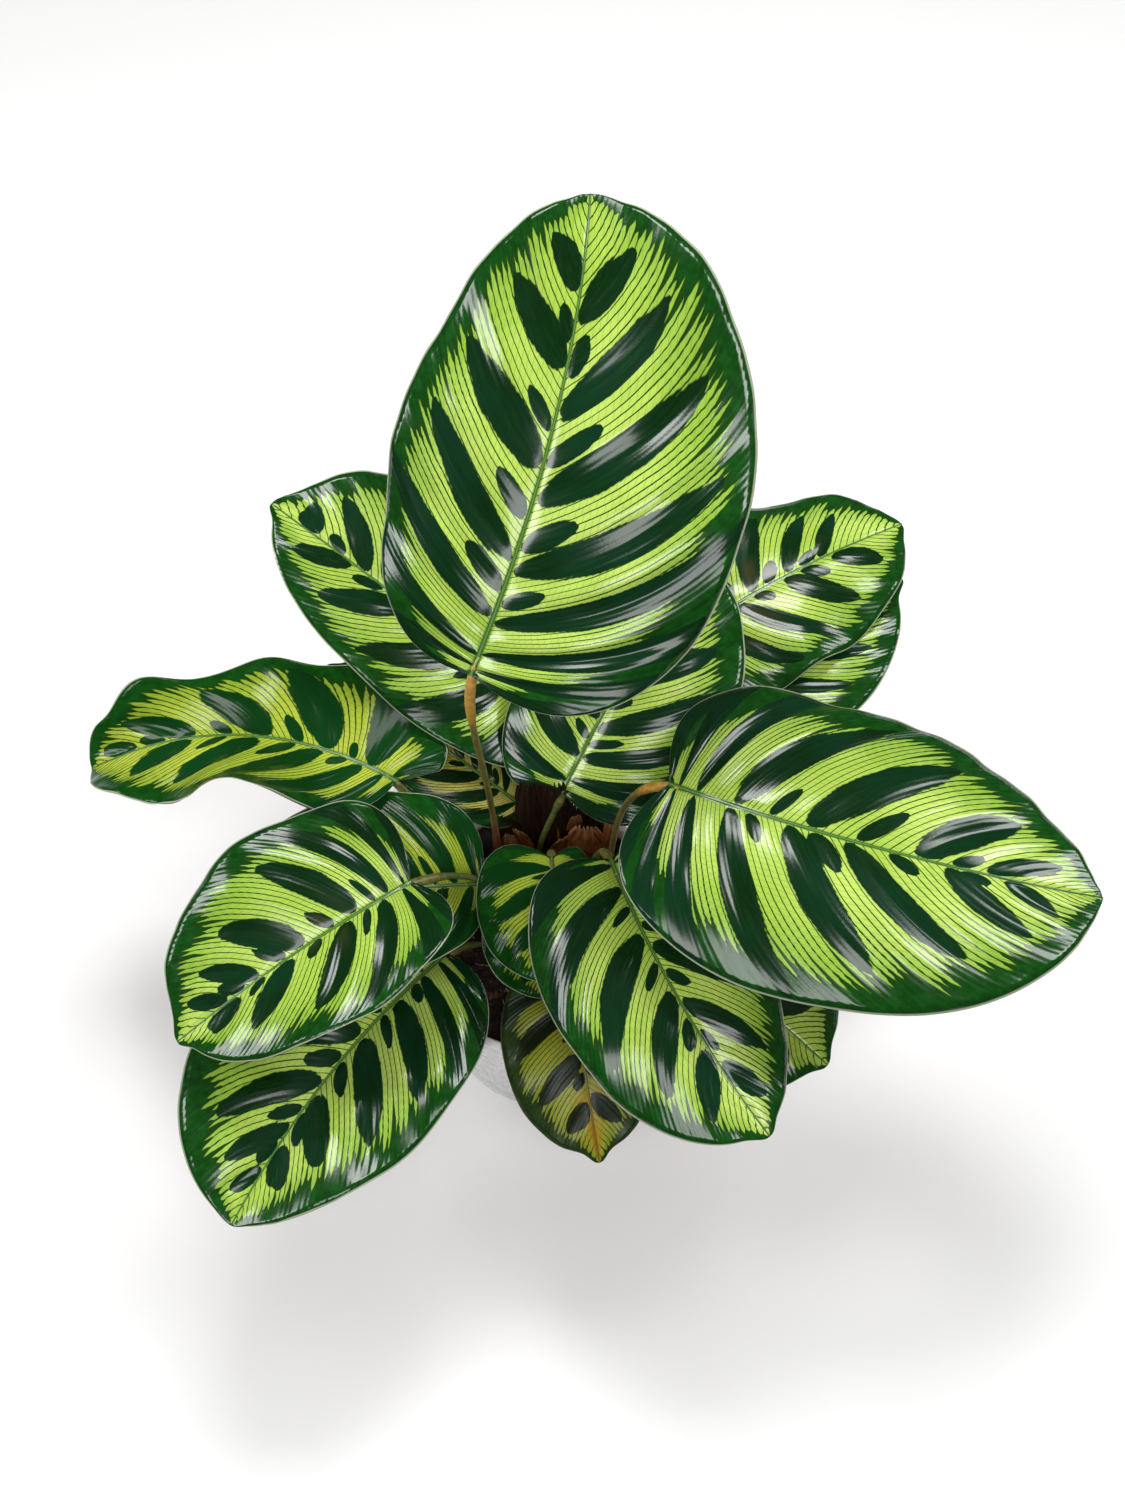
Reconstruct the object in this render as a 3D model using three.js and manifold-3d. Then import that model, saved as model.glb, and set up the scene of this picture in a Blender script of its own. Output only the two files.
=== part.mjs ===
// A peacock plant in a nursery pot: broad patterned leaves on slender stalks, dry leaf sheaths, soil and a
// pale pot. Millimetres, +Z up. The origin is the centre of the pot's foot, and the plant's best side faces -Y.
import * as THREE from "three";
import { mergeVertices } from "three/addons/utils/BufferGeometryUtils.js";
import Module from "manifold-3d";

const wasm = await Module();
wasm.setup();

const degrees = Math.PI / 180;

// Pot and soil
const pot = {
  height: 108,
  rimRadius: 60,
  collarRadius: 58,
  shoulderRadius: 55.5,
  footRadius: 46,
  wall: 1.6,
  floor: 4.6,
  recess: 3,
  padRadius: 18,
  collarHeight: 13,
  segments: 36,
};
const drain = { count: 6, radius: 4, circle: 30, sides: 8 };
const clearance = 0.32;
const soil = { level: 93, mound: 5, lumps: 1.1, rings: 6 };

// Leaf blades: every length is the midrib's, every width is across both halves laid flat
const blade = {
  rows: 12,
  columns: [0.05, 0.36, 0.7, 1],
  thickness: 0.8,
  rib: 1.7,
  stub: 1.6,
  tip: 0.5,
  valley: 2,
  skew: 1.2,
  apexSpan: 0.13,
};

// Leaf stalks: a dry sheath at the foot, a slim stalk, and a swollen joint below the blade
const stalk = {
  sides: 6,
  steps: 12,
  buried: 14,
  radius: 1.35,
  sheathRadius: 2.3,
  sheathEnd: 0.2,
  jointRadius: 1.7,
  jointStart: 0.88,
  gap: 0.6,
  drop: 2.4,
};

// base is where the blade meets its stalk, and root is where the stalk leaves the soil. Angles are in
// degrees: heading is the way the midrib leaves its stalk (0 is +X, 90 is +Y) and pitch is its rise there.
// By the tip the midrib has turned by sweep and sunk by droop. fold lifts both halves, and curl bends their
// margins. bias makes one half broader than the other, lobes are how far the two halves reach back past the
// base, apex is the length of the drawn-out tip, and point narrows the blade towards it. wave, waves and phase
// ripple the margins. knee is how much more steeply the stalk arrives than the blade leaves, arm is how far
// that bend reaches, and upright is the share of its height over which the stalk goes straight up.
const leaves = [
  { name: "leaf_top", base: [-25, 30, 260], root: [-20, 36], length: 181, width: 131, bias: 0.15,
    heading: 60.5, pitch: 39, droop: 21, sweep: 26, fold: 13, curl: -18, wave: 4.5, waves: 2, phase: 1.6,
    lobes: [5, 12], apex: 2, point: 0.2, arm: 24, knee: 25, upright: 0.62 },
  { name: "leaf_upper_left", base: [-4, 91, 135], root: [4.5, 42], length: 142, width: 106, bias: 0.22,
    heading: 149, pitch: 31, droop: 15, sweep: -1, fold: 16, curl: -19, wave: 2, waves: 2, phase: 1.2,
    lobes: [36, 7], apex: 5, point: 0.05, arm: 22, knee: 20, upright: 0.85 },
  { name: "leaf_left", base: [-63, 51.5, 141.7], root: [-24, 26], length: 148, width: 77, bias: -0.12,
    heading: 152, pitch: 11, droop: 40, sweep: 41.5, fold: 21, curl: 4.5, wave: 11.2, waves: 1.52,
    phase: 4.25, lobes: [0, 42], apex: 0, point: 0, arm: 16, knee: 50, upright: 0.62 },
  { name: "leaf_low_left", base: [-52, -9, 168], root: [-11, 6], length: 106.5, width: 91, bias: 0.09,
    heading: 213, pitch: 2, droop: 24, sweep: 1, fold: 22, curl: -10, wave: 3.2, waves: 2, phase: 0.4,
    lobes: [22, 20], apex: 4.5, point: 0, arm: 30, knee: 20, upright: 0.62 },
  { name: "leaf_front_left", base: [-40, -21, 124], root: [-12, -8], length: 137, width: 106, bias: 0.09,
    heading: 224, pitch: 1.5, droop: 6, sweep: 21, fold: 25, curl: -20.5, wave: 4, waves: 2, phase: -2.7,
    lobes: [9, 17], apex: 1.6, point: 0.19, arm: 18, knee: 20, upright: 0.62 },
  { name: "leaf_inner_left", base: [-25, 5, 137], root: [-21, 17], length: 110, width: 84, bias: 0.08,
    heading: 184, pitch: 2, droop: 14, sweep: 0, fold: 11, curl: -6, wave: 1.5, waves: 2, phase: 0,
    lobes: [4, 6], apex: 4, point: 0, arm: 10, knee: 65, upright: 0.62 },
  { name: "leaf_inner_front", base: [4, 9, 153], root: [3, 22], length: 54, width: 48, bias: 0.3,
    heading: 273, pitch: 6, droop: 22, sweep: 0, fold: 2, curl: -8, wave: 1.5, waves: 2, phase: 0,
    lobes: [14, 22], apex: 3, point: 0, arm: 12, knee: 20, upright: 0.62 },
  { name: "leaf_under_front", base: [2, 4, 127], root: [4, 12], length: 46, width: 48, bias: 0.2,
    heading: 277, pitch: 6, droop: 20, sweep: 0, fold: 4, curl: -8, wave: 1.5, waves: 2, phase: 0,
    lobes: [6, 6], apex: 3, point: 0, arm: 12, knee: 20, upright: 0.62 },
  { name: "leaf_front", base: [28, 3, 164], root: [18, 12], length: 123, width: 86, bias: 0.07,
    heading: 288, pitch: 2, droop: 24, sweep: 22, fold: 12, curl: -20, wave: 3, waves: 2, phase: 0,
    lobes: [22, 16], apex: 4, point: 0, arm: 18, knee: 20, upright: 0.62 },
  { name: "leaf_low_front", base: [12, -28, 117], root: [6, -8], length: 74, width: 62, bias: 0.02,
    heading: 277, pitch: 3, droop: 40, sweep: 4, fold: 4, curl: -8, wave: 2, waves: 2, phase: 0,
    lobes: [16, 13], apex: 5, point: 0, arm: 12, knee: 20, upright: 0.62 },
  { name: "leaf_right", base: [50, 18, 200], root: [29, 28], length: 175, width: 134.5, bias: 0,
    heading: 337, pitch: 2, droop: 18, sweep: 20, fold: 8, curl: -17.5, wave: 2, waves: 2, phase: 0.5,
    lobes: [26, 30], apex: 1.5, point: 0.7, arm: 22, knee: 30, upright: 0.62 },
  { name: "leaf_low_right", base: [53, -16, 126], root: [26, 6], length: 79, width: 90, bias: -0.06,
    heading: 323, pitch: 2, droop: 23, sweep: -1, fold: 4, curl: -17.5, wave: 2, waves: 2, phase: 0,
    lobes: [16, 18], apex: 4, point: 0, arm: 14, knee: 20, upright: 0.62 },
  { name: "leaf_centre", base: [8, 47, 140], root: [-3, 38], length: 118, width: 92, bias: 0.1,
    heading: 58, pitch: 32, droop: 20, sweep: 0, fold: 10, curl: -18, wave: 2, waves: 2, phase: 0,
    lobes: [22, 14], apex: 4, point: 0, arm: 18, knee: 20, upright: 0.62 },
  { name: "leaf_upper_right", base: [57, 113, 155], root: [14, 41], length: 118, width: 88, bias: -0.03,
    heading: 30, pitch: 18, droop: 25, sweep: -2, fold: 6, curl: -17, wave: 4.4, waves: 2.5, phase: 0,
    lobes: [16.5, 20.5], apex: 3.5, point: 0, arm: 20, knee: 20, upright: 0.8 },
  { name: "leaf_back_right", base: [53, 81.6, 132], root: [22, 35], length: 121.5, width: 86.5,
    bias: 0.06, heading: 31, pitch: 21, droop: 16, sweep: -1, fold: 12, curl: -13, wave: 2.7, waves: 2,
    phase: 0.25, lobes: [18, 14.5], apex: 7, point: 0.17, arm: 24, knee: -10, upright: 0.75 },
  { name: "leaf_back_left", base: [-8, 52, 115.5], root: [-12, 37], length: 104, width: 50, bias: 0.04,
    heading: 150, pitch: 26, droop: 10, sweep: 0, fold: 8, curl: -12, wave: 2, waves: 2, phase: 0,
    lobes: [2, 16], apex: 4, point: 0, arm: 12, knee: 20, upright: 0.62 },
];

function directionAt(leaf, u) {
  const heading = (leaf.heading + leaf.sweep * u) * degrees;
  const pitch = (leaf.pitch - leaf.droop * u) * degrees;
  return new THREE.Vector3(
    Math.cos(pitch) * Math.cos(heading),
    Math.cos(pitch) * Math.sin(heading),
    Math.sin(pitch),
  );
}

// The midrib's place at u, measured from the blade's base, and the blade's side and normal directions there
function frameAt(leaf, u) {
  const inside = Math.min(Math.max(u, 0), 1);
  const steps = 12;
  const place = new THREE.Vector3();
  for (let i = 0; i < steps; i++) {
    place.addScaledVector(directionAt(leaf, (inside * (i + 0.5)) / steps), (leaf.length * inside) / steps);
  }
  const along = directionAt(leaf, inside);
  place.addScaledVector(along, leaf.length * (u - inside));
  const side = new THREE.Vector3(-along.y, along.x, 0).normalize();
  const normal = new THREE.Vector3().crossVectors(along, side);
  return { place, side, normal };
}

const halfWidth = (leaf, hand) => (leaf.width / 2) * (1 - hand * leaf.bias);

// Where the side vein numbered w, from 0 at the stalk to 1 at the tip, leaves the midrib and meets the
// margin. The first vein is a short stub that leans back as far as its lobe does, and the last is the apex's
// blunt end
function veinEnds(leaf, hand, w) {
  const turn = Math.PI * w;
  const lobe = leaf.lobes[hand > 0 ? 0 : 1];
  const half = halfWidth(leaf, hand);
  const apex = leaf.apex * Math.exp(-(((Math.PI - turn) / blade.apexSpan) ** 2));
  const root = w * w * leaf.length + apex;
  const reach =
    leaf.length * ((1 - Math.cos(turn)) / 2) ** blade.skew -
    lobe * Math.sin(turn) * Math.cos(turn / 2) ** 4 -
    (blade.stub * (1 - w) * lobe) / half +
    apex;
  const taper = 1 - leaf.point * w ** 6;
  const across = blade.stub * (1 - w) + blade.tip * w + half * Math.sin(turn) * taper;
  return { root, reach, across };
}

// A point on the laid-flat blade: w picks the vein, and t runs from the midrib, 0, to the margin, 1
function flatPoint(leaf, hand, w, t) {
  const { root, reach, across } = veinEnds(leaf, hand, w);
  const bendX = root + 0.35 * (reach - root);
  const bendY = 0.62 * across;
  return {
    x: (1 - t) ** 2 * root + 2 * t * (1 - t) * bendX + t * t * reach,
    y: 2 * t * (1 - t) * bendY + t * t * across,
  };
}

// A point of the bent blade's middle layer, and the way up from it. Close to the midrib both halves share one
// way up
function bladePoint(leaf, hand, w, t) {
  const { x, y } = flatPoint(leaf, hand, w, t);
  const u = x / leaf.length;
  const share = y / (leaf.width / 2);
  const lift = (leaf.fold + leaf.curl * share) * degrees;
  const slope = ((leaf.fold + 2 * leaf.curl * share) * degrees * y) / (y + blade.valley);
  const ripple = Math.sin(2 * Math.PI * leaf.waves * u + leaf.phase + (hand > 0 ? 0 : 1.3));
  const rise = y * Math.sin(lift) + leaf.wave * share * share * ripple;
  const { place, side, normal } = frameAt(leaf, u);
  place.addScaledVector(side, hand * y * Math.cos(lift)).addScaledVector(normal, rise);
  const up = normal.multiplyScalar(Math.cos(slope)).addScaledVector(side, -hand * Math.sin(slope));
  return { place, up };
}

// A closed sheet round a grid of points, each with its way up: rows lead ahead and columns lead to the left,
// and upper and lower are its thickness above and below the grid
function sheetGeometry(grid, upper, lower) {
  const rows = grid.length;
  const columns = grid[0].length;
  const vertices = [];
  for (const [share, sign] of [[upper, 1], [lower, -1]]) {
    for (let i = 0; i < rows; i++) {
      for (let j = 0; j < columns; j++) {
        const { place, up } = grid[i][j];
        vertices.push(place.clone().addScaledVector(up, sign * share(i, j)));
      }
    }
  }
  const top = (i, j) => i * columns + j;
  const bottom = (i, j) => rows * columns + i * columns + j;
  const faces = [];
  for (let i = 0; i + 1 < rows; i++) {
    for (let j = 0; j + 1 < columns; j++) {
      const flip = j >= (columns - 1) / 2;
      const [a, b, c, d] = [[i, j], [i + 1, j], [i + 1, j + 1], [i, j + 1]];
      const split = flip ? [[a, b, c], [a, c, d]] : [[a, b, d], [b, c, d]];
      for (const [p, q, r] of split) {
        faces.push(top(...p), top(...q), top(...r));
        faces.push(bottom(...p), bottom(...r), bottom(...q));
      }
    }
  }
  const rim = [];
  for (let j = 0; j + 1 < columns; j++) rim.push([0, j]);
  for (let i = 0; i + 1 < rows; i++) rim.push([i, columns - 1]);
  for (let j = columns - 1; j > 0; j--) rim.push([rows - 1, j]);
  for (let i = rows - 1; i > 0; i--) rim.push([i, 0]);
  rim.forEach((here, n) => {
    const next = rim[(n + 1) % rim.length];
    faces.push(top(...here), top(...next), bottom(...here));
    faces.push(top(...next), bottom(...next), bottom(...here));
  });
  const geometry = new THREE.BufferGeometry().setFromPoints(vertices);
  geometry.setIndex(faces);
  return geometry;
}

function bladeGeometry(leaf) {
  const columns = [
    ...blade.columns.map((t) => [-1, t]).reverse(),
    [1, 0],
    ...blade.columns.map((t) => [1, t]),
  ];
  const grid = [];
  for (let i = 0; i <= blade.rows; i++) {
    grid.push(columns.map(([hand, t]) => bladePoint(leaf, hand, i / blade.rows, t)));
  }
  const middle = blade.columns.length;
  const upper = () => blade.thickness / 2;
  const lower = (i, j) => blade.thickness / 2 + (j === middle ? blade.rib * (1 - (i / blade.rows) ** 2) : 0);
  return sheetGeometry(grid, upper, lower);
}

const rootPlace = (leaf) => new THREE.Vector3(...leaf.root, soil.level);

// A leaf stalk's line, measured from where it leaves the soil: straight up, then over to meet the blade
function stalkCurve(leaf, growth) {
  const foot = new THREE.Vector3(0, 0, -stalk.buried - growth);
  const { normal } = frameAt(leaf, 0);
  const head = new THREE.Vector3(...leaf.base)
    .sub(rootPlace(leaf))
    .addScaledVector(directionAt(leaf, 0), -stalk.gap)
    .addScaledVector(normal, -stalk.drop);
  const arm = directionAt({ ...leaf, pitch: leaf.pitch + leaf.knee }, 0);
  const low = foot.clone().add(new THREE.Vector3(0, 0, leaf.upright * (head.z - foot.z)));
  const high = head.clone().addScaledVector(arm, -leaf.arm);
  return new THREE.CubicBezierCurve3(foot, low, high, head);
}

function stalkRadius(share) {
  if (share < stalk.sheathEnd) return stalk.sheathRadius;
  if (share < stalk.jointStart) return stalk.radius;
  return stalk.jointRadius;
}

// A cylinder bent along the stalk's curve. Its sides are carried down from the blade's own without twisting
function stalkGeometry(leaf, growth = 0) {
  const curve = stalkCurve(leaf, growth);
  const { side, normal } = frameAt(leaf, 0);
  let along = directionAt(leaf, 0);
  const frames = [];
  for (let i = stalk.steps; i >= 0; i--) {
    const share = i / stalk.steps;
    if (i < stalk.steps) {
      const next = curve.getTangentAt(share);
      const turn = new THREE.Quaternion().setFromUnitVectors(along, next);
      side.applyQuaternion(turn);
      normal.applyQuaternion(turn);
      along = next;
    }
    frames[i] = { centre: curve.getPointAt(share), side: side.clone(), normal: normal.clone() };
  }
  const geometry = new THREE.CylinderGeometry(1, 1, 1, stalk.sides, stalk.steps);
  const places = geometry.attributes.position;
  for (let n = 0; n < places.count; n++) {
    const i = Math.round((places.getY(n) + 0.5) * stalk.steps);
    const radius = stalkRadius(i / stalk.steps) + growth;
    const place = frames[i].centre
      .clone()
      .addScaledVector(frames[i].side, radius * places.getX(n))
      .addScaledVector(frames[i].normal, -radius * places.getZ(n));
    places.setXYZ(n, place.x, place.y, place.z);
  }
  return geometry;
}

function solidOf(geometry) {
  const bare = geometry.clone();
  for (const name of ["normal", "uv"]) bare.deleteAttribute(name);
  const merged = mergeVertices(bare, 1e-4);
  return new wasm.Manifold(
    new wasm.Mesh({
      numProp: 3,
      vertProperties: merged.attributes.position.array,
      triVerts: new Uint32Array(merged.index.array),
    }),
  );
}

function geometryOf(solid) {
  const mesh = solid.getMesh();
  const geometry = new THREE.BufferGeometry();
  geometry.setAttribute("position", new THREE.BufferAttribute(mesh.vertProperties, 3));
  geometry.setIndex(new THREE.BufferAttribute(mesh.triVerts, 1));
  return geometry;
}

// A turned shape about Z: the profile is a list of [radius, height], outwards from the axis and back to it
function turned(profile, segments) {
  const points = profile.map(([radius, height]) => new THREE.Vector2(radius, height));
  return new THREE.LatheGeometry(points, segments).rotateX(Math.PI / 2);
}

const innerRadius = (z) => {
  const shoulder = pot.height - pot.collarHeight;
  const foot = pot.footRadius - 1.4;
  return foot + ((pot.shoulderRadius - foot) * (z - pot.floor)) / (shoulder - pot.floor) - pot.wall;
};

// The underside is a flat pad, a raised channel with the drain holes in it, and the foot ring
function potGeometry() {
  const shoulder = pot.height - pot.collarHeight;
  const outer = [
    [0, 0],
    [pot.padRadius, 0],
    [pot.padRadius + 1.5, pot.recess],
    [pot.footRadius - 6, pot.recess],
    [pot.footRadius - 5, 0],
    [pot.footRadius - 1, 0],
    [pot.footRadius, 1],
    [pot.footRadius, 3.6],
    [pot.footRadius - 1.4, pot.floor],
    [pot.shoulderRadius, shoulder],
    [pot.collarRadius, shoulder + 1.5],
    [pot.collarRadius + 0.6, pot.height - 3.4],
    [pot.rimRadius, pot.height - 2.6],
    [pot.rimRadius, pot.height - 0.6],
    [pot.rimRadius - 0.8, pot.height],
  ];
  const inner = [
    [pot.collarRadius - pot.wall, pot.height],
    [pot.collarRadius - pot.wall - 0.4, shoulder + 2.4],
    [pot.shoulderRadius - pot.wall, shoulder + 0.8],
    [innerRadius(pot.floor + 2), pot.floor + 2],
    [innerRadius(pot.floor) - 2, pot.floor],
    [0, pot.floor],
  ];
  let body = solidOf(turned([...outer, ...inner], pot.segments));
  for (let k = 0; k < drain.count; k++) {
    const angle = (2 * Math.PI * k) / drain.count;
    const hole = new THREE.CylinderGeometry(drain.radius, drain.radius, 4 * pot.floor, drain.sides);
    hole.rotateX(Math.PI / 2);
    hole.translate(drain.circle * Math.cos(angle), drain.circle * Math.sin(angle), pot.floor);
    body = body.subtract(solidOf(hole));
  }
  return geometryOf(body);
}

function lumpAt(x, y) {
  const coarse = Math.sin(0.31 * x + 1.3) * Math.cos(0.37 * y);
  return coarse + 0.5 * Math.sin(0.83 * x - 0.6 * y) + 0.4 * Math.cos(0.9 * y);
}

function soilGeometry() {
  const bottom = pot.floor + clearance;
  const edge = innerRadius(soil.level - soil.mound) - clearance;
  const profile = [
    [0, bottom],
    [innerRadius(bottom) - 2 - clearance, bottom],
    [innerRadius(bottom + 2) - clearance, bottom + 2],
    [edge, soil.level - soil.mound],
  ];
  for (let i = soil.rings - 1; i >= 0; i--) {
    const share = i / soil.rings;
    profile.push([edge * share, soil.level - soil.mound * share * share]);
  }
  const geometry = turned(profile, pot.segments);
  const places = geometry.attributes.position;
  for (let i = 0; i < places.count; i++) {
    const radius = Math.hypot(places.getX(i), places.getY(i));
    if (places.getZ(i) > soil.level - soil.mound - 0.01 && radius < edge - 1) {
      places.setZ(i, places.getZ(i) + soil.lumps * lumpAt(places.getX(i), places.getY(i)));
    }
  }
  return geometry;
}

// Dry sheaths: papery strips standing in the soil and curved round the stalks, part of a cylinder about
// centre
const drySheaths = [
  { name: "dry_sheath_left", centre: [-3, 38], radius: 4.6, heading: 250, span: 140, lean: 10, height: 22 },
  { name: "dry_sheath_middle", centre: [4, 43], radius: 4.8, heading: 300, span: 130, lean: 8, height: 28 },
  { name: "dry_sheath_right", centre: [18, 37], radius: 9, heading: -5, span: 100, lean: 8, height: 18 },
];
const sheath = { rows: 5, columns: 6, thickness: 0.8, buried: 9, narrowing: 0.6 };

function sheathGeometry(strip, growth = 0) {
  const heading = strip.heading * degrees;
  const outward = new THREE.Vector3(Math.cos(heading), Math.sin(heading), 0);
  const sideways = new THREE.Vector3(-Math.sin(heading), Math.cos(heading), 0);
  const grid = [];
  for (let i = 0; i <= sheath.rows; i++) {
    const share = i / sheath.rows;
    const lean = strip.lean * share * degrees;
    const length = (strip.height + sheath.buried + growth) * share - growth;
    const centre = new THREE.Vector3(0, 0, length * Math.cos(lean) - sheath.buried)
      .addScaledVector(outward, length * Math.sin(lean));
    const span = strip.span * (1 - sheath.narrowing * share ** 3) * degrees + (2 * growth) / strip.radius;
    const row = [];
    for (let j = 0; j <= sheath.columns; j++) {
      const turn = (0.5 - j / sheath.columns) * span;
      const up = outward.clone().multiplyScalar(Math.cos(turn)).addScaledVector(sideways, Math.sin(turn));
      row.push({ place: centre.clone().addScaledVector(up, strip.radius), up });
    }
    grid.push(row);
  }
  const half = () => sheath.thickness / 2 + growth;
  return sheetGeometry(grid, half, half);
}

const sheathPlace = (strip) => new THREE.Vector3(...strip.centre, soil.level);

// The soil, with a plain hole for each stalk and sheath that stands in it
function drilledSoil() {
  let ground = solidOf(soilGeometry());
  for (const leaf of leaves) {
    ground = ground.subtract(solidOf(stalkGeometry(leaf, clearance).translate(...rootPlace(leaf))));
  }
  for (const strip of drySheaths) {
    ground = ground.subtract(solidOf(sheathGeometry(strip, clearance).translate(...sheathPlace(strip))));
  }
  return geometryOf(ground);
}

function namedMesh(name, geometry, look, place = new THREE.Vector3()) {
  const mesh = new THREE.Mesh(geometry, new THREE.MeshStandardMaterial(look));
  mesh.name = name;
  mesh.position.copy(place);
  return mesh;
}

const bladeLook = { color: 0x3f7a2c, roughness: 0.35, metalness: 0 };
const yellowLook = { color: 0x8f8a3c, roughness: 0.45, metalness: 0 };
const stalkLook = { color: 0x7a6a2e, roughness: 0.5, metalness: 0 };
const sheathLook = { color: 0x8a4a22, roughness: 0.8, metalness: 0 };
const soilLook = { color: 0x1d1612, roughness: 0.95, metalness: 0 };
const potLook = { color: 0xdfe2e2, roughness: 0.25, metalness: 0 };
const yellowing = "leaf_low_front";

const plant = new THREE.Group();
for (const leaf of leaves) {
  const group = new THREE.Group();
  const base = new THREE.Vector3(...leaf.base);
  const look = leaf.name === yellowing ? yellowLook : bladeLook;
  group.add(namedMesh(`${leaf.name}_blade`, bladeGeometry(leaf), look, base));
  group.add(namedMesh(`${leaf.name}_stalk`, stalkGeometry(leaf), stalkLook, rootPlace(leaf)));
  plant.add(group);
}
for (const strip of drySheaths) {
  plant.add(namedMesh(strip.name, sheathGeometry(strip), sheathLook, sheathPlace(strip)));
}

const potted = new THREE.Group();
potted.add(namedMesh("pot", potGeometry(), potLook));
potted.add(namedMesh("soil", drilledSoil(), soilLook));
potted.add(plant);

export default potted;
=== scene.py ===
# The look of a potted peacock plant, round its CAD model. Sizes are in millimetres until a mesh is made
import math

import bpy
import numpy as np
from mathutils import Matrix, Vector, noise


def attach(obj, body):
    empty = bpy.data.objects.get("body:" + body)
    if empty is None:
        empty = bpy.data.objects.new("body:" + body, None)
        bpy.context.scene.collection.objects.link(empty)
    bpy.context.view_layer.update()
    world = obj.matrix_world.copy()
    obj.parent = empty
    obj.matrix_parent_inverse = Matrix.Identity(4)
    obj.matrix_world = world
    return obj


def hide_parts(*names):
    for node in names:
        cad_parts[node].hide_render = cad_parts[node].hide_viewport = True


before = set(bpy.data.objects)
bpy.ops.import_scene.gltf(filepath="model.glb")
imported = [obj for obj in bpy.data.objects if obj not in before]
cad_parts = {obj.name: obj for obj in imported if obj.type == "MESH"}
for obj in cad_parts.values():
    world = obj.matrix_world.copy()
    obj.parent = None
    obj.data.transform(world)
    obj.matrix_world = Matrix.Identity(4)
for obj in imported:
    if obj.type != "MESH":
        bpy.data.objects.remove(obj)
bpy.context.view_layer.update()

MM = 0.001

# Pot and soil
POT_HEIGHT = 108
RIM_RADIUS = 60
COLLAR_RADIUS = 58
SHOULDER_RADIUS = 55.5
FOOT_RADIUS = 46
WALL_START = FOOT_RADIUS - 1.4
PAD_RADIUS = 18
POT_WALL = 1.6
POT_FLOOR = 4.6
POT_RECESS = 3
SHOULDER_HEIGHT = POT_HEIGHT - 13
POT_SEGMENTS = 144
DRAIN_COUNT = 6
DRAIN_RADIUS = 4
DRAIN_CIRCLE = 30
SOIL_LEVEL = 93
SOIL_MOUND = 5
SOIL_LUMPS = 1.1
SOIL_GRAIN = 1.1
SOIL_CLEARANCE = 0.32
SOIL_SEGMENTS = 120
SOIL_RINGS = 44

# Blades. Their meshes get more rows, columns and veins as the leaf gets longer
STUB = 1.6
TIP_WIDTH = 0.5
VALLEY = 2.0
SKEW = 1.2
APEX_SPAN = 0.13
BLADE_THICKNESS = 0.55
RIB_DEPTH = 1.5
BASE_BEND = 0.12
FEWEST_ROWS = 40
ROWS_PER_MM = 0.85
FEWEST_COLUMNS = 13
MM_PER_COLUMN = 14
FEWEST_VEINS = 36
VEINS_PER_MM = 0.19
FRILL_WAVES = 6

# Markings, in shares of the midrib's length and of the way to the margin
MARK_BREADTH = 0.245
MARK_START = 0.015
SMALL_MARKS_FROM = 0.37
MARK_LIMIT = 1.5

# Stalks
BURIED = 14
STALK_RADIUS = 1.35
STALK_FOOT_RADIUS = 2.3
JOINT_RADIUS = 2.0
STALK_GAP = 0.6
STALK_DROP = 2.4
STALK_RINGS = 72
STALK_SIDES = 14

# The leaves. The fields as far as upright are the CAD model's own. slants say how far a side vein gains on
# the midrib on its way out, bulk and mark_length how broad and how long the large dark marks are, reach how
# near the margin the light stripes come, and frill how far the right half's margin waves. spots are where
# the large marks leave the midrib: left half first, then right. Leaves in the shade get a tone with painted
# shade, old ones a tone of their own, and a warm stalk has an orange joint below the blade
USUAL = {
    "bias": 0, "sweep": 0, "wave": 2, "waves": 2, "phase": 0, "apex": 4, "point": 0, "knee": 20,
    "upright": 0.62, "slants": (0.25, 0.28), "bulk": 1.1, "reach": 0.93, "mark_length": 1, "frill": 0,
    "tone": "fresh", "stalk": "green",
    "spots": ((0.04, 0.12, 0.22, 0.36, 0.50, 0.64, 0.77, 0.885),
              (0.05, 0.14, 0.23, 0.34, 0.46, 0.59, 0.73, 0.86)),
}


def grown(name, **given):
    return {**USUAL, "name": "leaf_" + name, **given}


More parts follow.
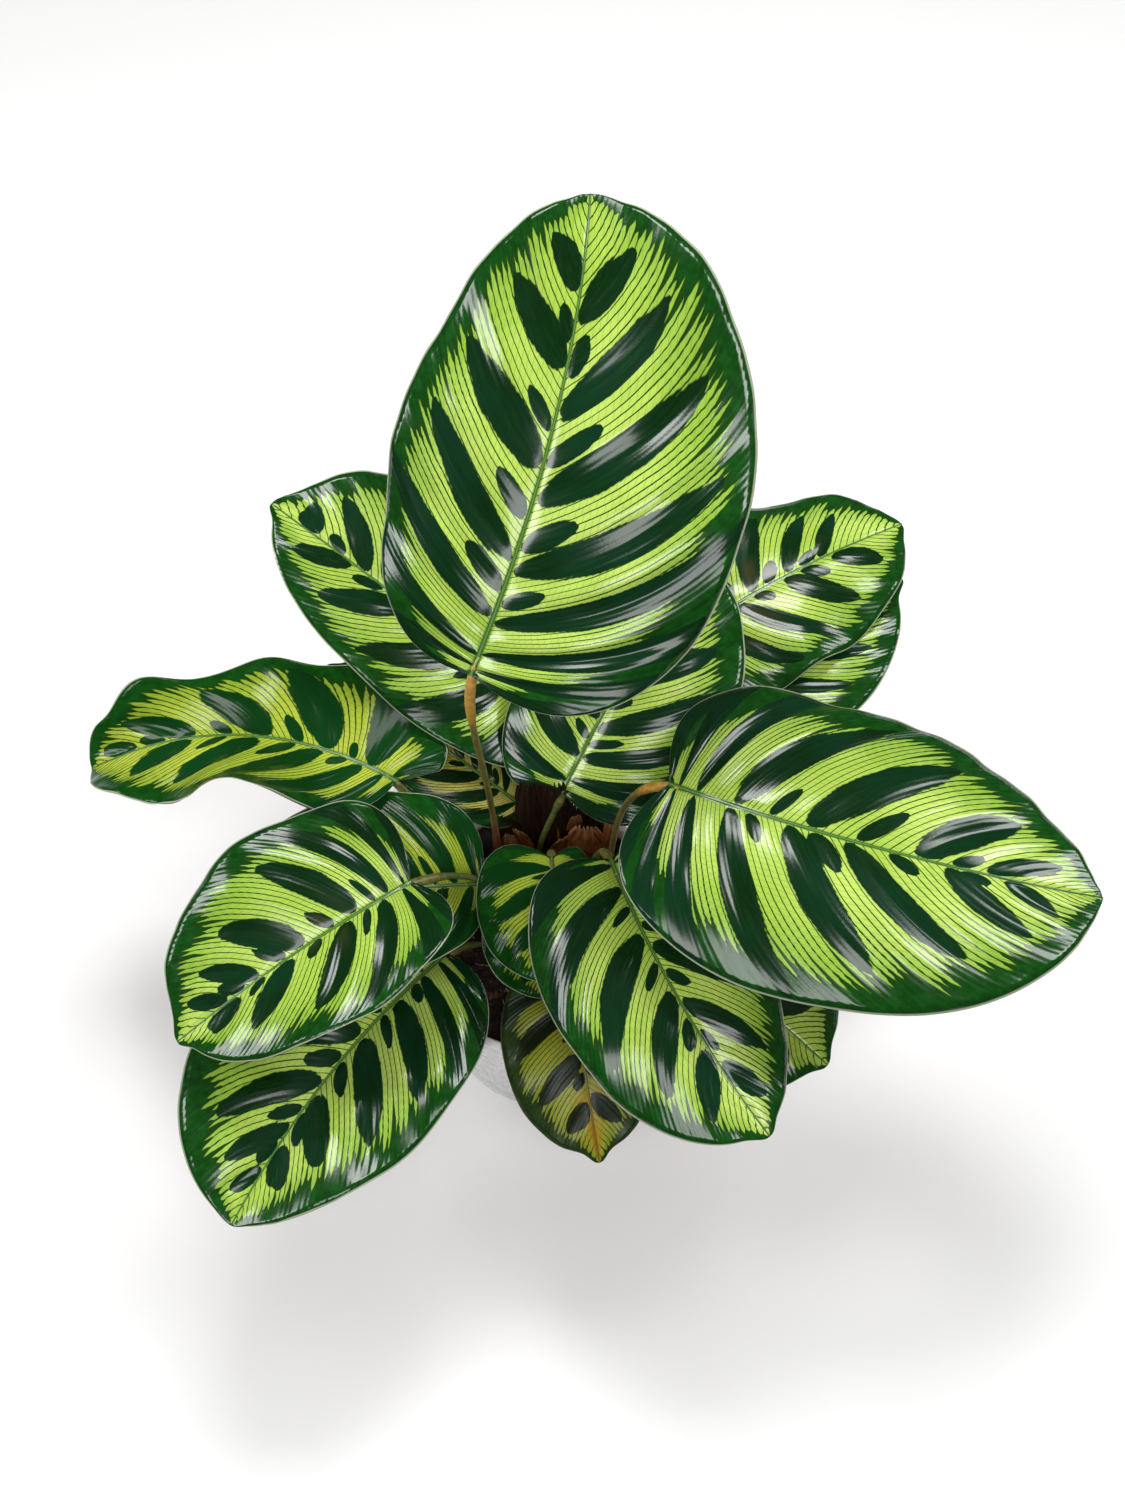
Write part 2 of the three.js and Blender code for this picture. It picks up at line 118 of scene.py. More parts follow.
LEAVES = [
    grown("top", base=(-25, 30, 260), root=(-20, 36), length=181, width=131, bias=0.15, heading=60.5,
          pitch=39, droop=21, sweep=26, fold=13, curl=-18, wave=4.5, phase=1.6, lobes=(5, 12), apex=2,
          point=0.2, arm=24, knee=25, slants=(0.2, 0.3), bulk=1.12, reach=0.97, stalk="warm",
          spots=((0.05, 0.125, 0.215, 0.36, 0.505, 0.65, 0.79, 0.895),
                 (0.045, 0.12, 0.21, 0.33, 0.455, 0.605, 0.745, 0.86))),
    grown("upper_left", base=(-4, 91, 135), root=(4.5, 42), length=142, width=106, bias=0.22,
          heading=149, pitch=31, droop=15, sweep=-1, fold=16, curl=-19, phase=1.2, lobes=(36, 7), apex=5,
          point=0.05, arm=22, upright=0.85, slants=(0.2, 0.2), bulk=1.12, reach=0.95,
          spots=((0.09, 0.21, 0.37, 0.54, 0.715, 0.855), (0.1, 0.24, 0.4, 0.55, 0.7, 0.83, 0.925))),
    grown("left", base=(-63, 51.5, 141.7), root=(-24, 26), length=148, width=77, bias=-0.12,
          heading=152, pitch=11, droop=40, sweep=41.5, fold=21, curl=4.5, wave=11.2, waves=1.52, phase=4.25,
          lobes=(0, 42), apex=0, arm=16, knee=50, slants=(0.2, 0.1), bulk=1.25, frill=3.2, tone="shaded",
          spots=((0.08, 0.2, 0.33, 0.49, 0.66, 0.81), (0.12, 0.3, 0.475, 0.65, 0.82, 0.925))),
    grown("low_left", base=(-52, -9, 168), root=(-11, 6), length=106.5, width=91, bias=0.09,
          heading=213, pitch=2, droop=24, sweep=1, fold=22, curl=-10, wave=3.2, phase=0.4, lobes=(22, 20),
          apex=4.5, arm=30, slants=(0.26, 0.3), bulk=1.2, reach=0.95, mark_length=0.9,
          spots=((0.08, 0.19, 0.36, 0.535, 0.735, 0.885), (0.07, 0.17, 0.31, 0.47, 0.68, 0.81, 0.9))),
    grown("front_left", base=(-40, -21, 124), root=(-12, -8), length=137, width=106, bias=0.09,
          heading=224, pitch=1.5, droop=6, sweep=21, fold=25, curl=-20.5, wave=4, phase=-2.7, lobes=(9, 17),
          apex=1.6, point=0.19, arm=18, slants=(0.22, 0.2), bulk=1.25, reach=0.91, mark_length=0.93,
          spots=((0.08, 0.18, 0.31, 0.45, 0.605, 0.755, 0.865),
                 (0.07, 0.18, 0.3, 0.44, 0.59, 0.74, 0.845, 0.92))),
    grown("inner_left", base=(-25, 5, 137), root=(-21, 17), length=110, width=84, bias=0.08,
          heading=184, pitch=2, droop=14, fold=11, curl=-6, wave=1.5, lobes=(4, 6), arm=10, knee=65,
          bulk=1.35, reach=0.85, tone="shaded",
          spots=((0.07, 0.2, 0.38, 0.55, 0.7, 0.84), (0.06, 0.15, 0.33, 0.5, 0.66, 0.8))),
    grown("inner_front", base=(4, 9, 153), root=(3, 22), length=54, width=48, bias=0.3, heading=273,
          pitch=6, droop=22, fold=2, curl=-8, wave=1.5, lobes=(14, 22), apex=3, arm=12, bulk=1.25,
          reach=0.86, tone="shaded", spots=((0.3, 0.52, 0.74, 0.9), (0.28, 0.5, 0.7, 0.87))),
    grown("under_front", base=(2, 4, 127), root=(4, 12), length=46, width=48, bias=0.2, heading=277,
          pitch=6, droop=20, fold=4, curl=-8, wave=1.5, lobes=(6, 6), apex=3, arm=12, tone="shaded",
          spots=((0.3, 0.54, 0.76), (0.28, 0.52, 0.75))),
    grown("front", base=(28, 3, 164), root=(18, 12), length=123, width=86, bias=0.07, heading=288,
          pitch=2, droop=24, sweep=22, fold=12, curl=-20, wave=3, lobes=(22, 16), arm=18,
          slants=(0.25, 0.3), bulk=1.15, reach=0.92,
          spots=((0.11, 0.25, 0.42, 0.58, 0.745, 0.885), (0.14, 0.33, 0.535, 0.705, 0.84))),
    grown("low_front", base=(12, -28, 117), root=(6, -8), length=74, width=62, bias=0.02, heading=277,
          pitch=3, droop=40, sweep=4, fold=4, curl=-8, lobes=(16, 13), apex=5, arm=12, slants=(0.2, 0.2),
          bulk=1.02, reach=0.94, tone="yellowing",
          spots=((0.25, 0.45, 0.65, 0.83), (0.25, 0.45, 0.68, 0.85))),
    grown("right", base=(50, 18, 200), root=(29, 28), length=175, width=134.5, heading=337, pitch=2,
          droop=18, sweep=20, fold=8, curl=-17.5, phase=0.5, lobes=(26, 30), apex=1.5, point=0.7, arm=22,
          knee=30, slants=(0.32, 0.25), reach=0.95, stalk="warm",
          spots=((0.05, 0.14, 0.24, 0.395, 0.575, 0.75, 0.87),
                 (0.06, 0.14, 0.235, 0.365, 0.515, 0.655, 0.79, 0.875))),
    grown("low_right", base=(53, -16, 126), root=(26, 6), length=79, width=90, bias=-0.06, heading=323,
          pitch=2, droop=23, sweep=-1, fold=4, curl=-17.5, lobes=(16, 18), arm=14, bulk=1.15, reach=0.9,
          spots=((0.24, 0.42, 0.6, 0.78), (0.25, 0.44, 0.63, 0.82))),
    grown("centre", base=(8, 47, 140), root=(-3, 38), length=118, width=92, bias=0.1, heading=58,
          pitch=32, droop=20, fold=10, curl=-18, lobes=(22, 14), arm=18, bulk=1.25, reach=0.88,
          spots=((0.07, 0.2, 0.38, 0.55, 0.7, 0.84), (0.09, 0.23, 0.38, 0.52, 0.68, 0.82))),
    grown("upper_right", base=(57, 113, 155), root=(14, 41), length=118, width=88, bias=-0.03,
          heading=30, pitch=18, droop=25, sweep=-2, fold=6, curl=-17, wave=4.4, waves=2.5,
          lobes=(16.5, 20.5), apex=3.5, arm=20, upright=0.8, slants=(0.1, 0.2),
          spots=((0.12, 0.28, 0.44, 0.59, 0.72, 0.81), (0.1, 0.24, 0.4, 0.535, 0.69, 0.84))),
    grown("back_right", base=(53, 81.6, 132), root=(22, 35), length=121.5, width=86.5, bias=0.06,
          heading=31, pitch=21, droop=16, sweep=-1, fold=12, curl=-13, wave=2.7, phase=0.25,
          lobes=(18, 14.5), apex=7, point=0.17, arm=24, knee=-10, upright=0.75),
    grown("back_left", base=(-8, 52, 115.5), root=(-12, 37), length=104, width=50, bias=0.04,
          heading=150, pitch=26, droop=10, fold=8, curl=-12, lobes=(2, 16), arm=12, bulk=1.25, reach=0.88,
          tone="olive"),
]


# Small helpers for arrays
def smooth(x, low, high):
    share = np.clip((x - low) / (high - low), 0, 1)
    return share * share * (3 - 2 * share)


def bell(x, width):
    return np.exp(-((x / width) ** 2))


# The CAD model's blade, for arrays of w, the vein's number from stalk to tip, and t, from midrib to margin
def direction(leaf, u):
    heading = np.radians(leaf["heading"] + leaf["sweep"] * u)
    pitch = np.radians(leaf["pitch"] - leaf["droop"] * u)
    return np.stack([np.cos(pitch) * np.cos(heading), np.cos(pitch) * np.sin(heading), np.sin(pitch)], -1)


def midrib(leaf, u):
    inside = np.clip(u, 0, 1)
    steps = 12
    place = np.zeros(u.shape + (3,)) + np.array(leaf["base"], float)
    for i in range(steps):
        place += direction(leaf, inside * (i + 0.5) / steps) * (leaf["length"] * inside / steps)[..., None]
    along = direction(leaf, inside)
    place += along * (leaf["length"] * (u - inside))[..., None]
    level = np.stack([-along[..., 1], along[..., 0], np.zeros(u.shape)], -1)
    level /= np.linalg.norm(level, axis=-1, keepdims=True)
    return place, level, np.cross(along, level)


def flat_point(leaf, hand, w, t):
    turn = np.pi * w
    lobe = np.where(hand > 0, leaf["lobes"][0], leaf["lobes"][1])
    half = leaf["width"] / 2 * (1 - hand * leaf["bias"])
    apex = leaf["apex"] * bell(np.pi - turn, APEX_SPAN)
    root = w * w * leaf["length"] + apex
    reach = leaf["length"] * ((1 - np.cos(turn)) / 2) ** SKEW + apex
    reach -= lobe * np.sin(turn) * np.cos(turn / 2) ** 4 + STUB * (1 - w) * lobe / half
    across = STUB * (1 - w) + TIP_WIDTH * w + half * np.sin(turn) * (1 - leaf["point"] * w**6)
    bend_x = root + 0.35 * (reach - root)
    bend_y = 0.62 * across
    x = (1 - t) ** 2 * root + 2 * t * (1 - t) * bend_x + t * t * reach
    y = 2 * t * (1 - t) * bend_y + t * t * across
    return x, y


def blade_point(leaf, hand, w, t):
    x, y = flat_point(leaf, hand, w, t)
    y += leaf["frill"] * t**3 * np.sin(2 * np.pi * FRILL_WAVES * w - 0.7) * np.sin(np.pi * w) * (hand < 0)
    u = x / leaf["length"]
    share = y / (leaf["width"] / 2)
    lift = np.radians(leaf["fold"] + leaf["curl"] * share)
    slope = np.radians(leaf["fold"] + 2 * leaf["curl"] * share) * y / (y + VALLEY)
    ripple = np.sin(2 * np.pi * leaf["waves"] * u + leaf["phase"] + np.where(hand > 0, 0, 1.3))
    rise = y * np.sin(lift) + leaf["wave"] * share**2 * ripple
    place, side, normal = midrib(leaf, u)
    place = place + side * (hand * y * np.cos(lift))[..., None] + normal * rise[..., None]
    up = normal * np.cos(slope)[..., None] - side * (hand * np.sin(slope))[..., None]
    return place, up, y


# Dark marks: positive inside a mark, in steps of about 1 across it
def spot(v, t, centre, half, start, end):
    share = (t - start) / (end - start)
    inside = np.clip(share, 0, 1)
    profile = 2.0 * inside**0.42 * (1 - inside) ** 0.62
    return profile - np.abs(v - centre) / half - 12 * np.maximum(np.abs(share - 0.5) - 0.5, 0)


def large_spots(leaf, side):
    centres = np.array(leaf["spots"][side])
    gaps = np.diff(centres)
    around = np.concatenate([gaps[:1], (gaps[1:] + gaps[:-1]) / 2, gaps[-1:]])
    return list(zip(centres, MARK_BREADTH * leaf["bulk"] * around))


def markings(leaf, side, v, t, random):
    field = np.full(v.shape, -MARK_LIMIT)
    spots = large_spots(leaf, side)
    for centre, half in spots:
        end = np.interp(centre, (0.15, 0.28, 0.42, 0.55, 0.9), (1.7, 1.15, 0.87, 0.79, 0.71))
        end = end * leaf["mark_length"] + random.uniform(-0.05, 0.05)
        lean = random.uniform(-0.05, 0.02)
        field = np.maximum(field, spot(v - lean * (t - 0.4), t, centre, half, MARK_START, end))
    for (centre, _), (following, _) in zip(spots, spots[1:]):
        between = (centre + following) / 2 + random.uniform(-0.008, 0.008)
        size = random.uniform(0.016, 0.027)
        end = random.uniform(0.16, 0.30)
        if between > SMALL_MARKS_FROM:
            field = np.maximum(field, spot(v, t, between, size, 0.01, end))
    dark_base = (0.045 + 0.07 * np.clip(1 - t / 0.2, 0, 1) + 0.05 * smooth(t, 0.5, 0.8) - v) / 0.03
    return np.clip(np.maximum(field, dark_base), -MARK_LIMIT, MARK_LIMIT)


# How far out the light stripes reach, as a share of the way to the margin. They end sooner beyond a large
# mark
def stripe_reach(leaf, side, v):
    stops = (0, 0.12, 0.20, 0.30, 0.42, 0.80, 0.90, 0.96, 1)
    shares = (0.42, 0.60, 0.76, 0.85, 0.92, 0.93, 0.92, 0.87, 0.5)
    held_back = sum(bell(v - centre, 1.1 * half) for centre, half in large_spots(leaf, side))
    return np.interp(v, stops, shares) * leaf["reach"] * (1 - 0.05 * np.minimum(held_back, 1))


# Folds along the dark marks, shallow pleats along the veins, broad swells and a rippled margin
def relief(leaf, side, v, t, y, veins, random):
    ends = smooth(v, 0.02, 0.16) * smooth(1 - v, 0.01, 0.1)
    belly = np.sin(np.pi * np.clip(t / 0.95, 0, 1)) ** 0.8
    size = leaf["length"] / 150
    height = np.zeros(v.shape)
    for centre, half in large_spots(leaf, side):
        crease = np.clip(1 - np.abs(v - centre) / (1.3 * half), 0, 1)
        height -= random.uniform(1.1, 2.1) * size * crease * belly * random.choice((-0.6, 1, 1))
    height += 0.2 * size * np.sin(2 * np.pi * v * veins / 4.5 + 3 * t) * belly
    for count in (1.5, 2.5, 4):
        turn = random.uniform(0, 2 * np.pi, 2)
        height += 0.5 * np.sin(2 * np.pi * count * v + turn[0]) * np.sin(3.2 * t + turn[1]) * t
    for count, rise in ((6, 0.5), (13, 0.18)):
        height += rise * size * t**4 * np.sin(2 * np.pi * count * v + random.uniform(0, 6))
    return height * ends


# Meshes from arrays
def new_mesh(name, places, faces):
    mesh = bpy.data.meshes.new(name)
    mesh.from_pydata((np.asarray(places) * MM).tolist(), [], faces)
    mesh.polygons.foreach_set("use_smooth", np.ones(len(mesh.polygons), bool))
    mesh.update()
    return mesh


def add_values(mesh, name, values):
    kind = "FLOAT_VECTOR" if values.ndim == 2 else "FLOAT"
    layer = mesh.attributes.new(name, kind, "POINT")
    layer.data.foreach_set("vector" if values.ndim == 2 else "value", values.astype(np.float32).ravel())


def new_object(name, data):
    made = bpy.data.objects.new(name, data)
    bpy.context.scene.collection.objects.link(made)
    return made


def add_piece(name, mesh, material, slot, *nodes):
    piece = new_object(name, mesh)
    mesh.materials.append(material)
    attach(piece, "root")
    if nodes:
        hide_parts(*nodes)
    return piece


# Faces round a grid of rings. Each ring closes on itself, and the two ends are left open
def ring_faces(rings, sides):
    i, k = np.meshgrid(np.arange(rings - 1), np.arange(sides), indexing="ij")
    after = (k + 1) % sides
    low = i * sides
    high = low + sides
    return np.stack([low + k, high + k, high + after, low + after], -1).reshape(-1, 4)


# Faces of a tube with both ends closed. Each end is a fan round a point, and the two points follow the rings
def tube_faces(rings, sides):
    faces = ring_faces(rings, sides)[:, ::-1].tolist()
    point = rings * sides
    last = point - sides
    for k in range(sides):
        after = (k + 1) % sides
        faces.append([point, after, k])
        faces.append([point + 1, last + k, last + after])
    return faces


# Faces of a thin strip. Each ring runs along the strip's upper side and back along its lower side
def strip_faces(rows, columns):
    sides = 2 * columns
    k = np.arange(columns - 1)
    first = np.stack([k, k + 1, sides - 2 - k, sides - 1 - k], -1)
    last = (rows - 1) * sides + first[:, ::-1]
    return np.concatenate([ring_faces(rows, sides), first, last])


# Lays a blade out flat: its upper side, its lower side beside that, and its two ends
def unwrap_blade(mesh, signed, rows):
    columns = len(signed)
    sides = 2 * columns
    across = np.concatenate([0.02 + 0.23 * (signed + 1), 0.52 + 0.23 * (1 - signed[::-1]), [1.0]])
    along = 0.01 + 0.98 * np.linspace(0, 1, rows)
    i, k = np.meshgrid(np.arange(rows - 1), np.arange(sides), indexing="ij")
    face_across = np.stack([across[k], across[k], across[k + 1], across[k + 1]], -1).ravel()
    face_along = np.stack([along[i], along[i + 1], along[i + 1], along[i]], -1).ravel()
    k = np.arange(columns - 1)
    cap = np.stack([across[k], across[k + 1], across[k + 1], across[k]], -1)
    low = np.tile([along[0], along[0], 0.0, 0.0], (columns - 1, 1))
    high = np.tile([1.0, 1.0, along[-1], along[-1]], (columns - 1, 1))
    all_across = np.concatenate([face_across, cap.ravel(), cap[:, ::-1].ravel()])
    all_along = np.concatenate([face_along, low.ravel(), high.ravel()])
    layer = mesh.uv_layers.new(name="OFBake")
    layer.data.foreach_set("uv", np.stack([all_across, all_along], -1).astype(np.float32).ravel())


def blade_mesh(leaf, index):
    rows = round(FEWEST_ROWS + ROWS_PER_MM * leaf["length"])
    half_columns = round(FEWEST_COLUMNS + leaf["length"] / MM_PER_COLUMN)
    veins = round(FEWEST_VEINS + VEINS_PER_MM * leaf["length"])
    steps = (np.arange(half_columns + 1) / half_columns) ** 1.5
    signed = np.concatenate([-steps[::-1], steps[1:]])
    v, s = np.meshgrid(np.linspace(0, 1, rows), signed, indexing="ij")
    t = np.abs(s)
    hand = np.where(s > 0, 1, -1)
    place = np.zeros(v.shape + (3,))
    up = np.zeros(place.shape)
    y, field, edge, height = np.zeros((4, *v.shape))
    for side, choose in ((0, s >= 0), (1, s <= 0)):
        sign = 1 - 2 * side
        part_v = v[choose]
        part_t = t[choose]
        w = part_v + leaf["slants"][side] * part_t * (1 - part_v) * (1 - np.exp(-part_v / BASE_BEND))
        place[choose], up[choose], y[choose] = blade_point(leaf, np.full(w.shape, sign), w, part_t)
        random = np.random.default_rng(100 * index + side)
        field[choose] = markings(leaf, side, part_v, part_t, random)
        edge[choose] = part_t / stripe_reach(leaf, side, part_v)
        height[choose] = relief(leaf, side, part_v, part_t, y[choose], veins, random)
    rib_width = 1.05 * (1 - 0.7 * v) * (0.55 + leaf["length"] / 400)
    ends = smooth(v, 0, 0.03) * smooth(1 - v, 0, 0.05)
    height += 0.45 * bell(y, 0.75 * rib_width) - 0.5 * bell(y, 3.2 * rib_width) * ends
    thickness = BLADE_THICKNESS / 2 * (1 - 0.55 * t**6)
    rib = RIB_DEPTH * (1 - v**2) * bell(y, 1.1 * rib_width + 0.2)
    over = place + up * (height + thickness)[..., None]
    under = place + up * (np.minimum(height, 0.2 * height) - thickness - rib)[..., None]
    places = np.concatenate([over, under[:, ::-1]], 1).reshape(-1, 3)
    mesh = new_mesh(leaf["name"], places, strip_faces(rows, len(signed)).tolist())

    def both(values, flipped=None):
        return np.concatenate([values, (values if flipped is None else flipped)[:, ::-1]], 1).ravel()

    cell = v * veins + 300 * index
    add_values(mesh, "place", np.stack([both(cell), both(s), both(y)], -1))
    add_values(mesh, "marks", np.stack([both(field), both(edge), both(0 * v, 0 * v + 1)], -1))
    add_values(mesh, "rib", both(y / rib_width))
    unwrap_blade(mesh, signed, rows)
    return mesh


def lengths_along(path):
    return np.concatenate([[0], np.cumsum(np.linalg.norm(np.diff(path, axis=0), axis=1))])


# Tubes: rings carried along a path without twisting, with a low cone at each end
def tube_shape(path, radii, start_side, sides):
    path = np.asarray(path, float)
    along = np.gradient(path, axis=0)
    along /= np.linalg.norm(along, axis=1, keepdims=True)
    side = np.asarray(start_side, float)
    angles = 2 * np.pi * np.arange(sides) / sides
    rings = []
    for point, ahead, radius in zip(path, along, radii):
        side = side - ahead * (side @ ahead)
        side = side / np.linalg.norm(side)
        other = np.cross(ahead, side)
        rings.append(point + radius * (np.outer(np.cos(angles), side) + np.outer(np.sin(angles), other)))
    ends = [path[0] - along[0] * radii[0] * 0.5, path[-1] + along[-1] * radii[-1] * 0.5]
    return np.concatenate([*rings, ends]), tube_faces(len(path), sides)


def stalk_path(leaf, count):
    unit = direction(leaf, np.zeros(1))[0]
    _, side, normal = midrib(leaf, np.zeros(1))
    foot = np.array([*leaf["root"], SOIL_LEVEL - BURIED])
    head = np.array(leaf["base"]) - unit * STALK_GAP - normal[0] * STALK_DROP
    arm = direction({**leaf, "pitch": leaf["pitch"] + leaf["knee"]}, np.zeros(1))[0]
    low = foot + np.array([0, 0, leaf["upright"] * (head[2] - foot[2])])
    high = head - arm * leaf["arm"]
    t = np.linspace(0, 1, 200)[:, None]
    curve = (1 - t) ** 3 * foot + 3 * t * (1 - t) ** 2 * low + 3 * t * t * (1 - t) * high + t**3 * head
    into = head + unit * 3 + normal[0] * 1.1
    further = head + unit * 8 + normal[0] * 1.6
    curve = np.concatenate([curve, [into, further]])
    lengths = lengths_along(curve)
    wanted = np.linspace(0, lengths[-1], count)
    path = np.stack([np.interp(wanted, lengths, curve[:, axis]) for axis in range(3)], -1)
    return path, wanted / lengths[-2], side[0]


def stalk_mesh(leaf, index):
    path, share, side = stalk_path(leaf, STALK_RINGS)
    swell = smooth(share, 0.8, 0.88) * (1 - smooth(share, 0.97, 1.03))
    foot = 1 - smooth(share, 0.1, 0.32)
    radii = STALK_RADIUS + (STALK_FOOT_RADIUS - STALK_RADIUS) * foot + (JOINT_RADIUS - STALK_RADIUS) * swell
    radii -= 0.35 * smooth(share, 1.0, 1.04)
    random = np.random.default_rng(500 + index)
    radii += 0.05 * np.sin(np.linspace(0, 40, len(radii)) + random.uniform(0, 6))
    mesh = new_mesh(leaf["name"] + "_stalk", *tube_shape(path, radii, side, STALK_SIDES))
    lengths = lengths_along(path)
    add_values(mesh, "share", np.concatenate([np.repeat(lengths / lengths[-1], STALK_SIDES), [0, 1]]))
    return mesh


# Node graphs: numbers and colours are set on sockets, and sockets are linked
class Graph:
    def __init__(self, name):
        self.material = bpy.data.materials.new(name)
        self.material.use_nodes = True
        self.tree = self.material.node_tree
        self.tree.nodes.clear()
        self.shader = self.add("BsdfPrincipled")
        self.tree.links.new(self.shader.outputs[0], self.add("OutputMaterial").inputs["Surface"])

    def add(self, kind, **settings):
        node = self.tree.nodes.new("ShaderNode" + kind)
        for key, value in settings.items():
            setattr(node, key, value)
        return node

    def put(self, socket, value):
        if isinstance(value, bpy.types.NodeSocket):
            self.tree.links.new(value, socket)
        elif isinstance(value, tuple) and socket.type == "RGBA":
            socket.default_value = (*value, 1) if len(value) == 3 else value
        else:
            socket.default_value = value

    def set(self, name, value):
        self.put(self.shader.inputs[name], value)

    def feed(self, kind, given, **settings):
        node = self.add(kind, **settings)
        for socket, value in zip(node.inputs, given):
            self.put(socket, value)
        return node.outputs[0]

    def math(self, operation, *given):
        return self.feed("Math", given, operation=operation)

    def plus(self, a, b):
        return self.math("ADD", a, b)

    def times(self, a, b):
        return self.math("MULTIPLY", a, b)

    # What is left of 1
    def rest(self, a):
        return self.math("SUBTRACT", 1.0, a)

    def scale(self, a, factor, shift=0.0):
        return self.math("MULTIPLY_ADD", a, factor, shift)

    # Moves a to either side by up to half the amount, as by goes from 0 to 1
    def sway(self, a, by, amount):
        return self.plus(a, self.scale(by, amount, -amount / 2))

    def smooth(self, value, low, high, start=0.0, end=1.0):
        return self.feed("MapRange", (value, low, high, start, end), interpolation_type="SMOOTHSTEP")

    def fill(self, node, **given):
        for name, value in given.items():
            self.put(node.inputs[name], value)
        return node.outputs[0]

    def mix(self, share, a, b):
        node = self.add("Mix", data_type="RGBA")
        self.fill(node, Factor=share)
        self.put(node.inputs[6], a)
        self.put(node.inputs[7], b)
        return node.outputs[2]

    # From colour a towards colour b as the value goes from low to high
    def blend(self, value, low, high, a, b, most=1.0):
        return self.mix(self.smooth(value, low, high, 0.0, most), a, b)

    def split(self, vector):
        parts = self.add("SeparateXYZ")
        self.put(parts.inputs[0], vector)
        return parts.outputs

    def values(self, name):
        return self.split(self.add("Attribute", attribute_name=name).outputs["Vector"])

    def value(self, name):
        return self.add("Attribute", attribute_name=name).outputs["Fac"]

    def vector(self, x, y, z=0.0):
        return self.feed("CombineXYZ", (x, y, z))

    def here(self):
        return self.add("TexCoord").outputs["Object"]

    def noise(self, where, scale, detail, roughness=0.5):
        return self.fill(self.add("TexNoise"), Vector=where, Scale=scale, Detail=detail, Roughness=roughness)

    def stretched(self, x, x_scale, y, y_scale, detail, roughness=0.5):
        where = self.vector(self.scale(x, x_scale), self.scale(y, y_scale))
        return self.noise(where, 1.0, detail, roughness)

    def random(self, where):
        return self.feed("TexWhiteNoise", (where,))

    # Distance to the nearest whole number, for lines that repeat
    def to_line(self, a):
        from_middle = self.math("ABSOLUTE", self.math("SUBTRACT", self.math("FRACT", a), 0.5))
        return self.math("SUBTRACT", 0.5, from_middle)

    def bump(self, height, distance, strength):
        self.set("Normal", self.fill(self.add("Bump"), Height=height, Distance=distance, Strength=strength))


